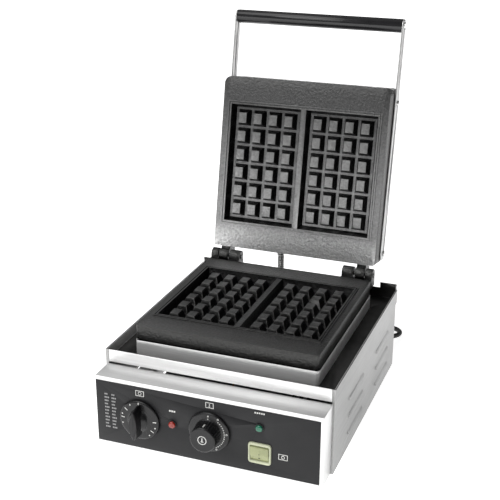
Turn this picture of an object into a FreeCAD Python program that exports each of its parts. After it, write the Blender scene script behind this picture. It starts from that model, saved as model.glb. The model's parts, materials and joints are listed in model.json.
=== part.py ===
"""Counter-top waffle baker for two rectangular waffles, lid open.

Millimetres.  X to the right, Y to the back, Z up.  The origin is under the middle of the
machine, on the surface it stands on.  The lid's pieces are built as if the lid were closed,
measured from the hinge axis, and LID_OPEN then tips them back as one.
"""
import FreeCAD, Part
import Sketcher
import math
import os
import re

Vector = FreeCAD.Vector
Rotation = FreeCAD.Rotation
Placement = FreeCAD.Placement

doc = FreeCAD.newDocument("waffle_baker")

# ------------------------------------------------------------------ driving dimensions

SIZES = {
    "sheet": 1.0,
    # control box at the front, with its black fascia
    "box_width": 290.0, "box_depth": 35.0, "box_height": 94.5, "shelf_depth": 34.0,
    "fascia_width": 285.6, "fascia_height": 83.6, "fascia_thick": 0.8,
    "fascia_rise": 5.7, "fascia_shift": -1.0,
    # main shell behind it
    "shell_width": 296.0, "shell_depth": 303.0, "rim_height": 113.0, "flange": 4.3,
    "overhang": 7.0, "overhang_height": 20.0,
    # louvres pressed out of the sides
    "louvre_length": 65.0, "louvre_height": 6.0, "louvre_reach": 2.0,
    "louvre_first": 98.0, "louvre_step": 133.0, "louvre_low": 25.0, "louvre_pitch": 24.0,
    # drip tray and the collar round the lower plate
    "tray_floor": 98.2, "tray_fit": 0.1, "lip_drop": 1.7, "tab_width": 24.0, "tab_height": 8.0,
    "skirt_width": 240.0, "skirt_depth": 243.0, "skirt_height": 19.0, "skirt_corner": 5.0,
    # cast plates
    "plate_width": 238.0, "plate_depth": 242.0, "plate_front": 61.2, "slab": 18.4,
    "upper_slab": 26.0, "cast_depth": 34.0, "plinth_inset": 3.0, "cast_wall": 8.0, "cast_floor": 8.0,
    "frame_width": 222.0, "frame_depth": 176.2, "frame_rise": 1.4, "frame_wall": 5.0,
    "ridge": 1.6, "groove": 1.4, "cavity_depth": 11.5, "divider": 7.6, "draft": 19.5,
    "peg_width": 18.9, "peg_length": 22.2, "peg_short": 0.4,
    "peg_pitch": 22.6, "row_pitch": 25.8, "first_peg": 21.1,
    "corner_front": 10.0, "corner_rear": 3.0, "corner_lower": 4.0,
    # hinge
    "hinge_back": 12.8, "face_drop": 2.9, "plate_level": 138.8, "open_angle": 101.2,
    "ear_radius": 8.6, "lug_radius": 8.4, "pin_radius": 3.0, "pin_play": 0.06,
    "ear_in": 76.0, "ear_gap": 91.5, "ear_out": 109.0, "lug_in": 94.5, "lug_out": 107.5,
    "ear_drop": 17.0, "stop_drop": 9.2, "stop_play": 0.1, "heel": 8.0, "neck": 22.0,
    # lid cover, handle arms and grip
    "cover_depth": 23.0, "arm_thick": 2.0, "arm_width": 18.0, "arm_middle": 37.0,
    "arm_start": 12.0, "arm_screw_rise": 40.0, "arm_screw_low": 12.0, "arm_screw_high": 222.0,
    "grip_reach": 326.0, "grip_radius": 9.3, "rod_radius": 4.0,
    # screws
    "screw_radius": 2.0, "head_radius": 3.6, "head_thick": 1.8, "nut_thick": 3.0,
    # heating
    "element_radius": 4.0, "leg_pitch": 50.0, "leg_length": 176.0, "leg_bend": 24.0,
    "leg_inset": 20.0, "stud_radius": 3.0, "stud_across": 100.0, "stud_along": 95.0,
    "blanket": 14.0, "bulb_radius": 3.0, "bulb_length": 90.0, "capillary": 1.0,
    # controls
    "timer_at": -85.0, "timer_rise": 46.5, "thermostat_at": 5.8, "thermostat_rise": 49.5,
    "knob_radius": 26.0, "knob_gap": 1.0, "knob_reach": 25.0, "skirt_thick": 4.0,
    "shaft_radius": 3.0, "shaft_play": 0.05, "unit_size": 42.0, "unit_depth": 36.0,
    "heat_lamp_at": -42.5, "heat_lamp_rise": 48.0, "power_lamp_at": 68.2, "power_lamp_rise": 66.6,
    "lamp_radius": 5.6, "lamp_body": 4.5,
    "switch_at": 68.8, "switch_rise": 32.7, "bezel_width": 28.3, "bezel_height": 27.4,
    "rocker_width": 20.4, "rocker_height": 20.0, "rocker_tilt": 10.0, "axle_stub": 1.2,
    # feet, armoured conduit, mains lead
    "foot": 8.0, "foot_radius": 10.0, "foot_across": 112.0, "foot_inset": 34.0, "foot_recess": 4.0,
    "conduit_radius": 4.8, "conduit_at": -22.0, "conduit_back": 335.0, "ferrule": 5.0,
    "cord_radius": 3.5, "gland_at": 60.0, "gland_rise": 26.0, "gland_radius": 8.0,
    "relief_length": 20.0, "coil_radius": 38.0, "coil_width": 21.0, "coil_height": 14.0,
}

# Sizes that follow from the driving ones.
SIZES["rear"] = SIZES["box_depth"] + SIZES["shell_depth"]
SIZES["louvre_radius"] = (SIZES["louvre_height"] ** 2 / SIZES["louvre_reach"] + SIZES["louvre_reach"]) / 2
SIZES["plate_rear"] = SIZES["plate_front"] + SIZES["plate_depth"]
SIZES["hinge_depth"] = SIZES["plate_rear"] + SIZES["hinge_back"]
SIZES["hinge_level"] = SIZES["plate_level"] + SIZES["face_drop"]

OPEN = math.radians(SIZES["open_angle"])


def tipped(forward, rise):
    """Where a point of the closed lid goes when it opens, as (back, up) from the hinge."""
    back = -forward * math.cos(OPEN) + rise * math.sin(OPEN)
    return back, forward * math.sin(OPEN) + rise * math.cos(OPEN)


grip_back, grip_up = tipped(SIZES["hinge_back"] + SIZES["grip_reach"], SIZES["arm_middle"])
SIZES["front"] = (SIZES["knob_reach"] - SIZES["hinge_depth"] - grip_back - SIZES["grip_radius"]) / 2

dims = doc.addObject("Spreadsheet::Sheet", "dims")
for row, (alias, size) in enumerate(SIZES.items(), start=1):
    dims.set(f"A{row}", alias)
    dims.set(f"B{row}", repr(size))
    dims.setAlias(f"B{row}", alias)
doc.recompute()

HINGE = Vector(0, SIZES["front"] + SIZES["hinge_depth"], SIZES["foot"] + SIZES["hinge_level"])
LID_OPEN = Placement(HINGE, Rotation(Vector(1, 0, 0), -SIZES["open_angle"]))
FLIPPED = Placement(Vector(), Rotation(Vector(0, 1, 0), 180))
TURNS = {
    "x": Rotation(Vector(0, 1, 0), 90),
    "y": Rotation(Vector(1, 0, 0), -90),
    "z": Rotation(),
}
SIDES = (("left", -1), ("right", 1))

parts = {}

# ------------------------------------------------------------------ building blocks


def cells(text):
    """An expression with each dimension's name turned into its spreadsheet cell."""
    return re.sub(r"[a-z_]+", lambda name: "dims." + name[0] if name[0] in SIZES else name[0], text)


def bind(thing, **sizes):
    for prop, text in sizes.items():
        thing.setExpression(prop, cells(text))


def put(thing, at, turn="z"):
    thing.Placement = Placement(Vector(), TURNS[turn])
    for axis, text in zip("xyz", at):
        thing.setExpression("Placement.Base." + axis, cells(text))
    return thing


def box(size, at):
    block = doc.addObject("Part::Box", "block")
    bind(block, Length=size[0], Width=size[1], Height=size[2])
    return put(block, at)


def rod(radius, length, at, turn="y"):
    round_bar = doc.addObject("Part::Cylinder", "rod")
    bind(round_bar, Radius=radius, Height=length)
    return put(round_bar, at, turn)


def cone(low, high, length, at, turn="y"):
    taper = doc.addObject("Part::Cone", "cone")
    bind(taper, Radius1=low, Radius2=high, Height=length)
    return put(taper, at, turn)


def ball(radius, at):
    dome = doc.addObject("Part::Sphere", "ball")
    bind(dome, Radius=radius)
    return put(dome, at)


def fuse(*pieces):
    if len(pieces) == 1:
        return pieces[0]
    whole = doc.addObject("Part::MultiFuse", "fuse")
    whole.Shapes = list(pieces)
    return whole


def group(*pieces):
    """Separate solids that share one node, such as a set of screws."""
    whole = doc.addObject("Part::Compound", "group")
    whole.Links = list(pieces)
    return whole


def cut(base, *tools):
    rest = doc.addObject("Part::Cut", "cut")
    rest.Base = base
    rest.Tool = fuse(*tools)
    return rest


def common(base, tool):
    overlap = doc.addObject("Part::Common", "common")
    overlap.Base = base
    overlap.Tool = tool
    return overlap


def rounded(size, at, radius):
    """A block whose four upright edges are rounded."""
    wide, deep, tall = size
    left, near, low = at
    inner_left = f"{left} + {radius}"
    inner_near = f"{near} + {radius}"
    across = box((wide, f"{deep} - 2 * {radius}", tall), (left, inner_near, low))
    along = box((f"{wide} - 2 * {radius}", deep, tall), (inner_left, near, low))
    posts = [rod(radius, tall, (x, y, low), "z")
             for x in (inner_left, f"{left} + {wide} - {radius}")
             for y in (inner_near, f"{near} + {deep} - {radius}")]
    return fuse(across, along, *posts)


def keep(name, thing, where=None):
    """Name a finished piece, and move it if it belongs to the lid."""
    if where is not None:
        thing = group(thing)
        thing.Placement = where
    thing.Label = name
    parts[name] = thing
    return thing


def rounded_wire(points, radii):
    """Straight runs joined by tangent arcs, one radius for each inner point."""
    edges = []
    start = points[0]
    for before, corner, after, radius in zip(points, points[1:], points[2:], radii):
        back = (before - corner).normalize()
        ahead = (after - corner).normalize()
        half = (math.pi - back.getAngle(ahead)) / 2
        reach = radius * math.tan(half)
        enter = corner + back * reach
        leave = corner + ahead * reach
        middle = (back + ahead).normalize()
        crown = corner + middle * (radius / math.cos(half) - radius)
        if (enter - start).Length > 1e-6:
            edges.append(Part.LineSegment(start, enter).toShape())
        edges.append(Part.Arc(enter, crown, leave).toShape())
        start = leave
    edges.append(Part.LineSegment(start, points[-1]).toShape())
    return Part.Wire(edges)


def tube(radius, points, radii):
    """A round tube swept along a rounded path."""
    route = doc.addObject("Part::Feature", "route")
    route.Shape = rounded_wire(points, radii)
    ring = doc.addObject("Part::Circle", "section")
    bind(ring, Radius=radius)
    ring.Placement = Placement(points[0], Rotation(Vector(0, 0, 1), points[1] - points[0]))
    pipe = doc.addObject("Part::Sweep", "tube")
    pipe.Sections = [ring]
    pipe.Spine = (route, [f"Edge{i + 1}" for i in range(len(route.Shape.Edges))])
    pipe.Solid = True
    return pipe


def loose_radii(points):
    """Bends as large as the runs beside them allow."""
    radii = []
    for before, corner, after in zip(points, points[1:], points[2:]):
        back = before - corner
        ahead = after - corner
        half = (math.pi - back.getAngle(ahead)) / 2
        radii.append(0.49 * min(back.Length, ahead.Length) / math.tan(half))
    return radii


# ------------------------------------------------------------------ sketches for cast plates


def origin_feature(body, role):
    return next(part for part in body.Origin.OriginFeatures if part.Role == role)


def rectangle(body, name, middle, size, level):
    """A rectangle on the body's XY plane: its middle, its size and its level are cells."""
    sketch = body.newObject("Sketcher::SketchObject", name)
    sketch.AttachmentSupport = (origin_feature(body, "XY_Plane"), [""])
    sketch.MapMode = "FlatFace"
    sketch.setExpression("AttachmentOffset.Base.x", cells(middle[0]))
    sketch.setExpression("AttachmentOffset.Base.y", cells(middle[1]))
    sketch.setExpression("AttachmentOffset.Base.z", cells(level))
    corners = [Vector(-1, -1, 0), Vector(1, -1, 0), Vector(1, 1, 0), Vector(-1, 1, 0)]
    for i in range(4):
        sketch.addGeometry(Part.LineSegment(corners[i], corners[(i + 1) % 4]), False)
    for i in range(4):
        sketch.addConstraint(Sketcher.Constraint("Coincident", i, 2, (i + 1) % 4, 1))
    for line, way in enumerate(("Horizontal", "Vertical", "Horizontal", "Vertical")):
        sketch.addConstraint(Sketcher.Constraint(way, line))
    sketch.addConstraint(Sketcher.Constraint("Symmetric", 0, 1, 2, 1, -1, 1))
    wide = sketch.addConstraint(Sketcher.Constraint("DistanceX", 0, 1, 0, 2, 2.0))
    deep = sketch.addConstraint(Sketcher.Constraint("DistanceY", 1, 1, 1, 2, 2.0))
    sketch.setExpression(f"Constraints[{wide}]", cells(size[0]))
    sketch.setExpression(f"Constraints[{deep}]", cells(size[1]))
    return sketch


def pad(body, sketch, length, down=False, taper=None):
    feature = body.newObject("PartDesign::Pad", "pad")
    feature.Profile = sketch
    feature.Reversed = down
    bind(feature, Length=length)
    if taper:
        bind(feature, TaperAngle=taper)
    return feature


def pocket(body, sketch, length, up=False, taper=None):
    feature = body.newObject("PartDesign::Pocket", "pocket")
    feature.Profile = sketch
    feature.Reversed = up
    bind(feature, Length=length)
    if taper:
        bind(feature, TaperAngle=taper)
    return feature


def round_corners(body, feature, chosen, radius):
    """Fillet the upright edges that stand where chosen(point) is true."""
    doc.recompute()
    names = []
    for number, edge in enumerate(feature.Shape.Edges, start=1):
        low, high = edge.Vertexes[0].Point, edge.Vertexes[-1].Point
        upright = abs(low.x - high.x) + abs(low.y - high.y) < 1e-6
        if upright and chosen(low):
            names.append(f"Edge{number}")
    fillet = body.newObject("PartDesign::Fillet", "fillet")
    fillet.Base = (feature, names)
    bind(fillet, Radius=radius)
    return fillet


def cast_plate(name, face, slab, front_corner):
    """A cooking plate seen face up, measured from the hinge axis: two cavities full of pegs.

    The slab stands on a slightly smaller plinth that is hollow underneath.
    """
    body = doc.addObject("PartDesign::Body", name)
    middle = "-hinge_back - plate_depth / 2"
    halfway = -SIZES["hinge_back"] - SIZES["plate_depth"] / 2
    block = pad(body, rectangle(body, "outline", ("0", middle), ("plate_width", "plate_depth"), face),
                slab, down=True)
    block = round_corners(body, block, lambda point: point.y < halfway, front_corner)
    round_corners(body, block, lambda point: point.y > halfway, "corner_rear")
    plinth = ("plate_width - 2 * plinth_inset", "plate_depth - 2 * plinth_inset")
    pad(body, rectangle(body, "plinth", ("0", middle), plinth, f"{face} - {slab}"),
        f"cast_depth - {slab}", down=True)
    hollow = tuple(f"{side} - 2 * cast_wall" for side in plinth)
    pocket(body, rectangle(body, "hollow", ("0", middle), hollow, f"{face} - cast_depth"),
           "cast_depth - cavity_depth - cast_floor", up=True)

    def inset(margin):
        return f"frame_width - 2 * ({margin})", f"frame_depth - 2 * ({margin})"

    # Two ridges with a groove between them run round the cooking area.
    raised = f"{face} + frame_rise"
    inner = inset("frame_wall")
    pad(body, rectangle(body, "outer_ridge", ("0", middle), inset("0"), face), "frame_rise")
    pocket(body, rectangle(body, "groove", ("0", middle), inset("ridge"), raised), "frame_rise")
    pad(body, rectangle(body, "inner_ridge", ("0", middle), inset("ridge + groove"), face), "frame_rise")
    pocket(body, rectangle(body, "inside", ("0", middle), inner, raised), "frame_rise")

    cavity_middle = "(frame_width / 2 - frame_wall + divider / 2) / 2"
    cavity_size = ("frame_width / 2 - frame_wall - divider / 2", inner[1])
    cavity = pocket(body, rectangle(body, "cavity", (cavity_middle, middle), cavity_size, face),
                    "cavity_depth", taper="-draft")
    twin = body.newObject("PartDesign::Mirrored", "second_cavity")
    twin.Originals = [cavity]
    twin.MirrorPlane = (origin_feature(body, "YZ_Plane"), [""])
    body.Tip = twin
    doc.recompute()

    peg_at = ("first_peg", f"{middle} - 2.5 * row_pitch")
    peg_sketch = rectangle(body, "peg", peg_at, ("peg_width", "peg_length"), f"{face} - cavity_depth")
    peg = pad(body, peg_sketch, "cavity_depth - peg_short", taper="-draft")
    pegs = body.newObject("PartDesign::MultiTransform", "pegs")
    across = doc.addObject("PartDesign::LinearPattern", "pegs_across")
    across.Direction = (origin_feature(body, "X_Axis"), [""])
    across.Occurrences = 4
    bind(across, Length="3 * peg_pitch")
    along = doc.addObject("PartDesign::LinearPattern", "pegs_along")
    along.Direction = (origin_feature(body, "Y_Axis"), [""])
    along.Occurrences = 6
    bind(along, Length="5 * row_pitch")
    other = doc.addObject("PartDesign::Mirrored", "pegs_other_cavity")
    other.MirrorPlane = (origin_feature(body, "YZ_Plane"), [""])
    pegs.Originals = [peg]
    pegs.Transformations = [across, along, other]
    body.Tip = pegs
    doc.recompute()
    return body


# ------------------------------------------------------------------ shell

PANEL_HOLES = (
    ("shaft_radius + 2", "timer_at", "timer_rise"),
    ("shaft_radius + 2", "thermostat_at", "thermostat_rise"),
    ("lamp_body", "heat_lamp_at", "heat_lamp_rise"),
    ("lamp_body", "power_lamp_at", "power_lamp_rise"),
)


def panel_cutters():
    holes = [rod(radius, "6", (across, "front - 3", f"foot + {rise}"))
             for radius, across, rise in PANEL_HOLES]
    window = box(("bezel_width - 4", "6", "bezel_height - 4"),
                 ("switch_at - bezel_width / 2 + 2", "front - 3",
                  "foot + switch_rise - bezel_height / 2 + 2"))
    return holes + [window]


def control_box():
    outside = box(("box_width", "box_depth", "box_height"), ("-box_width / 2", "front", "foot"))
    inside = box(("box_width - 2 * sheet", "box_depth", "box_height"),
                 ("-box_width / 2 + sheet", "front + sheet", "foot - sheet"))
    shadow_gap = box(("box_width - 2 * sheet", "box_depth", "2 * sheet"),
                     ("-box_width / 2 + sheet", "front + shelf_depth", "foot + box_height - 1.5 * sheet"))
    keep("control_box", cut(outside, inside, shadow_gap, *panel_cutters()))

    fascia = box(("fascia_width", "fascia_thick", "fascia_height"),
                 ("fascia_shift - fascia_width / 2", "front - fascia_thick", "foot + fascia_rise"))
    keep("fascia_plate", cut(fascia, *panel_cutters()))


def louvre(outer_face, sign, near, top):
    """A hood that bulges out of the side and opens downwards, and the hollow behind it."""
    low = f"{top} - louvre_height"
    centre = f"{outer_face} + {sign} * (louvre_reach - louvre_radius)"

    def curved(radius, start, length, inset, reach):
        bar = rod(radius, length, (centre, start, low))
        left = f"{outer_face} - {inset}" if sign > 0 else f"{outer_face} - {reach}"
        return common(bar, box((f"{inset} + {reach}", length, "louvre_height"), (left, start, low)))

    hood = curved("louvre_radius", near, "louvre_length", "sheet / 2", "louvre_reach")
    hollow = curved("louvre_radius - sheet", f"{near} + sheet", "louvre_length - 2 * sheet",
                    "2 * sheet", "louvre_reach")
    return hood, hollow


def side_panel(name, sign):
    outer_face = f"{sign} * shell_width / 2"
    wall_left = f"{outer_face} - sheet" if sign > 0 else outer_face
    flange_left = f"{outer_face} - flange" if sign > 0 else outer_face
    wall = box(("sheet", "shell_depth", "rim_height"), (wall_left, "front + box_depth", "foot"))
    brim = box(("sheet", "overhang", "overhang_height"),
               (wall_left, "front + rear", "foot + rim_height - overhang_height"))
    flange = box(("flange", "sheet", "rim_height"), (flange_left, "front + box_depth", "foot"))
    hoods, hollows = [], []
    for bank in range(2):
        for row in range(3):
            hood, hollow = louvre(outer_face, sign, f"front + louvre_first + {bank} * louvre_step",
                                  f"foot + louvre_low + {row} * louvre_pitch")
            hoods.append(hood)
            hollows.append(hollow)
    keep(name, cut(fuse(wall, brim, flange, *hoods), *hollows))


def rear_and_bottom():
    inner_width = "shell_width - 2 * sheet"
    inner_left = "-shell_width / 2 + sheet"
    rear = box((inner_width, "sheet", "tray_floor"), (inner_left, "front + rear - sheet", "foot"))
    lead_hole = rod("gland_radius - 2", "3 * sheet", ("gland_at", "front + rear - 2 * sheet", "gland_rise"))
    rear_holes = [rod("screw_radius", "3 * sheet", (x, "front + rear - 2 * sheet", z))
                  for x, z in REAR_SCREWS]
    keep("rear_panel", cut(rear, lead_hole, *rear_holes))

    plate = box(("box_width - 2 * sheet - 1", "rear - 2 * sheet - 0.2", "sheet"),
                ("-box_width / 2 + sheet + 0.5", "front + sheet + 0.1", "foot"))
    vents = [box(("120", "6", "3 * sheet"),
                 (f"{side} * 70 - 60", f"front + 90 + {row} * 22", "foot - sheet"))
             for side in (-1, 1) for row in range(6)]
    foot_holes = [rod("screw_radius", "3 * sheet", (x, y, "foot - sheet"), "z") for x, y in FOOT_PLACES]
    keep("bottom_plate", cut(plate, *vents, *foot_holes))


REAR_SCREWS = tuple((f"{side} * (shell_width / 2 - 12)", f"foot + {rise}")
                    for side in (-1, 1) for rise in (14, 80))
FOOT_PLACES = tuple((f"{side} * foot_across", place)
                    for side in (-1, 1) for place in ("front + foot_inset", "front + rear - foot_inset"))


def feet():
    pads, screws = [], []
    for x, y in FOOT_PLACES:
        pad_body = cone("foot_radius - 1.5", "foot_radius", "foot", (x, y, "0"), "z")
        recess = rod("foot_recess", "foot - 3", (x, y, "0"), "z")
        bore = rod("screw_radius", "foot", (x, y, "0"), "z")
        pads.append(cut(pad_body, recess, bore))
        shank = rod("screw_radius", "6 + sheet", (x, y, "foot - 3"), "z")
        head = rod("head_radius", "head_thick", (x, y, "foot - 3 - head_thick"), "z")
        nut = rod("head_radius", "nut_thick", (x, y, "foot + sheet"), "z")
        screws.append(fuse(shank, head, nut))
    names = ("foot_front_left", "foot_rear_left", "foot_front_right", "foot_rear_right")
    for name, pad_solid in zip(names, pads):
        keep(name, pad_solid)
    keep("foot_screws", group(*screws))

    rear_heads = [fuse(rod("screw_radius", "8", (x, "front + rear - 6", z)),
                       rod("head_radius", "head_thick", (x, "front + rear", z)))
                  for x, z in REAR_SCREWS]
    keep("rear_screws", group(*rear_heads))


# ------------------------------------------------------------------ drip tray and lower plate

PLATE_MIDDLE = "front + plate_front + plate_depth / 2"
STUD_PLACES = tuple((f"{side} * stud_across", f"{end} * stud_along")
                    for side in (-1, 1) for end in (-1, 1))
ELEMENT_ENDS = ("-1.5 * leg_pitch", "1.5 * leg_pitch")


def drip_tray():
    width = "shell_width - 2 * sheet - 2 * tray_fit"
    left = "-shell_width / 2 + sheet + tray_fit"
    right = "shell_width / 2 - 2 * sheet - tray_fit"
    near = "front + box_depth + sheet"
    deep = "shell_depth + overhang - 2 * sheet"
    floor = box((width, deep, "sheet"), (left, near, "foot + tray_floor"))
    lip = box(("shell_width - 2 * flange - 0.2", "sheet", "rim_height - tray_floor + lip_drop"),
              ("-shell_width / 2 + flange + 0.1", "front + box_depth", "foot + tray_floor - lip_drop"))
    lip_root = box(("shell_width - 2 * flange - 0.2", "2 * sheet", "sheet"),
                   ("-shell_width / 2 + flange + 0.1", "front + box_depth", "foot + tray_floor"))
    cheeks = [box(("sheet", deep, "rim_height - tray_floor - 0.2"), (x, near, "foot + tray_floor"))
              for x in (left, right)]
    back = box((width, "sheet", "overhang_height"),
               (left, "front + rear + overhang - sheet", "foot + rim_height - overhang_height"))
    tabs = [box(("tab_width", "sheet", "tab_height + sheet"),
                (x, "front + rear + overhang - sheet", "foot + rim_height - sheet"))
            for x in (left, "shell_width / 2 - sheet - tray_fit - tab_width")]
    stud_holes = [rod("stud_radius", "3 * sheet",
                      (x, f"{PLATE_MIDDLE} + {y}", "foot + tray_floor - sheet"), "z")
                  for x, y in STUD_PLACES]
    element_holes = [rod("element_radius + 2", "3 * sheet",
                         (x, f"{PLATE_MIDDLE} - leg_length / 2", "foot + tray_floor - sheet"), "z")
                     for x in ELEMENT_ENDS]
    conduit_hole = rod("conduit_radius + 0.4", "3 * sheet",
                       ("conduit_at", "front + conduit_back", "foot + tray_floor - sheet"), "z")
    bulb_hole = rod("bulb_radius", "3 * sheet", ("0", f"{PLATE_MIDDLE} - leg_length / 2 + leg_inset",
                                                 "foot + tray_floor - sheet"), "z")
    keep("drip_tray", cut(fuse(floor, lip, lip_root, back, *cheeks, *tabs),
                          *stud_holes, *element_holes, conduit_hole, bulb_hole))

    collar_at = ("-skirt_width / 2", f"{PLATE_MIDDLE} - skirt_depth / 2", "foot + tray_floor + sheet")
    outside = rounded(("skirt_width", "skirt_depth", "skirt_height"), collar_at, "skirt_corner")
    inside = rounded(("(skirt_width - 2 * sheet)", "(skirt_depth - 2 * sheet)", "(skirt_height + 2)"),
                     ("(sheet - skirt_width / 2)", f"({PLATE_MIDDLE} - skirt_depth / 2 + sheet)",
                      "(foot + tray_floor + sheet - 1)"), "(skirt_corner - sheet)")
    keep("plate_skirt", cut(outside, inside))


def hinge_eye(left, width, radius, drop, reach):
    """A tombstone round the hinge axis that reaches forward to the plate's edge."""
    barrel = rod(radius, width, (left, "0", "0"), "x")
    post = box((width, f"2 * {radius}", drop), (left, f"-({radius})", f"-({drop})"))
    root = box((width, f"{reach}", f"{drop} - face_drop"), (left, f"-({reach})", f"-({drop})"))
    return fuse(barrel, post, root)


def lower_plate():
    pieces = [cast_plate("lower_casting", "-face_drop", "slab", "corner_lower")]
    for _, sign in SIDES:
        for low, high in (("ear_in", "ear_gap"), ("ear_out", "plate_width / 2")):
            left = low if sign > 0 else f"-({high})"
            pieces.append(hinge_eye(left, f"({high} - {low})", "ear_radius", "ear_drop", "hinge_back + 1"))
        left = "ear_gap - 1" if sign > 0 else "-ear_out - 1"
        pieces.append(box(("ear_out - ear_gap + 2", "hinge_back + 1 + ear_radius", "ear_drop - stop_drop"),
                          (left, "-hinge_back - 1", "-ear_drop")))
    bore = rod("pin_radius", "plate_width + 2", ("-plate_width / 2 - 1", "0", "0"), "x")
    sockets_at = "-face_drop - cavity_depth - cast_floor"
    stud_sockets = [rod("stud_radius", "4", (x, f"-hinge_back - plate_depth / 2 + {y}", sockets_at), "z")
                    for x, y in STUD_PLACES]
    keep("lower_grill_plate", cut(fuse(*pieces), bore, *stud_sockets), Placement(HINGE, Rotation()))


def upper_plate():
    body = cast_plate("upper_casting", "0", "upper_slab", "corner_front")
    body.Placement = FLIPPED
    pieces = [body]
    for _, sign in SIDES:
        left = "lug_in" if sign > 0 else "-lug_out"
        width = "lug_out - lug_in"
        pieces.append(rod("lug_radius", width, (left, "0", "0"), "x"))
        pieces.append(box((width, "hinge_back + 3", "neck - 1"), (left, "-hinge_back - 1", "1")))
        heel = group(box((width, "heel", "stop_drop - stop_play"), (left, "0", "-(stop_drop - stop_play)")))
        heel.Placement = Placement(Vector(), Rotation(Vector(1, 0, 0), SIZES["open_angle"]))
        pieces.append(heel)
    bore = rod("pin_radius + pin_play", "plate_width + 2", ("-plate_width / 2 - 1", "0", "0"), "x")
    stud_sockets = [rod("stud_radius", "4", (x, f"-hinge_back - plate_depth / 2 + {y}",
                                             "cavity_depth + cast_floor - 4"), "z")
                    for x, y in STUD_PLACES]
    keep("upper_grill_plate", cut(fuse(*pieces), bore, *stud_sockets), LID_OPEN)


def hinge_pins():
    for side, sign in SIDES:
        left = "ear_in - 1.5" if sign > 0 else "-plate_width / 2 - 1.5"
        pin = rod("pin_radius", "plate_width / 2 - ear_in + 3",
                  (left, "front + hinge_depth", "foot + hinge_level"), "x")
        keep(f"hinge_pin_{side}", pin)


# ------------------------------------------------------------------ lid


def lid_cover():
    body = doc.addObject("PartDesign::Body", "cover_pan")
    middle = "-hinge_back - plate_depth / 2"
    halfway = -SIZES["hinge_back"] - SIZES["plate_depth"] / 2
    block = pad(body, rectangle(body, "outline", ("0", middle), ("plate_width", "plate_depth"), "cast_depth"),
                "cover_depth")
    block = round_corners(body, block, lambda point: point.y < halfway, "corner_front")
    block = round_corners(body, block, lambda point: point.y > halfway, "corner_rear")
    doc.recompute()
    below = min(block.Shape.Faces, key=lambda face: face.CenterOfMass.z)
    mouth = next(f"Face{i}" for i, face in enumerate(block.Shape.Faces, start=1) if face.isSame(below))
    shell = body.newObject("PartDesign::Thickness", "shell")
    shell.Base = (block, [mouth])
    shell.Reversed = True
    bind(shell, Value="sheet")
    doc.recompute()
    top_holes = [rod("stud_radius", "4", (x, f"{middle} + {y}", "cast_depth + cover_depth - 2"), "z")
                 for x, y in STUD_PLACES]
    side_holes = [rod("screw_radius", "plate_width + 2",
                      ("-plate_width / 2 - 1", f"-hinge_back - {reach}", "arm_screw_rise"), "x")
                  for reach in ("arm_screw_low", "arm_screw_high")]
    keep("lid_cover", cut(body, *top_holes, *side_holes), LID_OPEN)


def handle():
    far = "-hinge_back - grip_reach"
    near = "-hinge_back - arm_start"
    screws = []
    for side, sign in SIDES:
        left = "plate_width / 2" if sign > 0 else "-plate_width / 2 - arm_thick"
        bar = box(("arm_thick", "grip_reach - arm_start", "arm_width"),
                  (left, far, "arm_middle - arm_width / 2"))
        ends = [rod("arm_width / 2", "arm_thick", (left, y, "arm_middle"), "x") for y in (far, near)]
        rod_hole = rod("rod_radius", "arm_thick + 2", (f"{left} - 1", far, "arm_middle"), "x")
        screw_holes = [rod("screw_radius", "arm_thick + 2",
                           (f"{left} - 1", f"-hinge_back - {reach}", "arm_screw_rise"), "x")
                       for reach in ("arm_screw_low", "arm_screw_high")]
        keep(f"handle_arm_{side}", cut(fuse(bar, *ends), rod_hole, *screw_holes), LID_OPEN)
        for reach in ("arm_screw_low", "arm_screw_high"):
            y = f"-hinge_back - {reach}"
            inner = "plate_width / 2 - sheet - nut_thick" if sign > 0 else "-plate_width / 2 + sheet"
            shank = inner if sign > 0 else "-plate_width / 2 - arm_thick"
            outer = "plate_width / 2 + arm_thick" if sign > 0 else f"{shank} - head_thick"
            level = "arm_screw_rise"
            screws.append(fuse(rod("screw_radius", "arm_thick + sheet + nut_thick", (shank, y, level), "x"),
                               rod("head_radius", "head_thick", (outer, y, level), "x"),
                               rod("head_radius", "nut_thick", (inner, y, level), "x")))
    keep("arm_screws", group(*screws), LID_OPEN)

    grip = rod("grip_radius", "plate_width", ("-plate_width / 2", far, "arm_middle"), "x")
    bore = rod("rod_radius", "plate_width + 2", ("-plate_width / 2 - 1", far, "arm_middle"), "x")
    keep("handle_grip", cut(grip, bore), LID_OPEN)
    tie = rod("rod_radius", "plate_width + 2 * arm_thick",
              ("-plate_width / 2 - arm_thick", far, "arm_middle"), "x")
    keep("grip_rod", tie, LID_OPEN)
    caps = [rod("rod_radius + 1", "2.2", (left, far, "arm_middle"), "x")
            for left in ("plate_width / 2 + arm_thick", "-plate_width / 2 - arm_thick - 2.2")]
    keep("grip_end_nuts", group(*caps), LID_OPEN)


def element(middle_y, level, ends_to):
    """Four legs side by side, joined by hairpins, with both ends turned the same way."""
    pitch, length = SIZES["leg_pitch"], SIZES["leg_length"]
    near, far = middle_y - length / 2, middle_y + length / 2
    points = [Vector(-1.5 * pitch, near, ends_to), Vector(-1.5 * pitch, near, level)]
    for leg in range(3):
        x = (leg - 1.5) * pitch
        y = far if leg % 2 == 0 else near
        points += [Vector(x, y, level), Vector(x + pitch, y, level)]
    points += [Vector(1.5 * pitch, near, level), Vector(1.5 * pitch, near, ends_to)]
    bend = SIZES["leg_bend"]
    radii = [2 * SIZES["element_radius"]] + [bend] * 6 + [2 * SIZES["element_radius"]]
    return tube("element_radius", points, radii)


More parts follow.
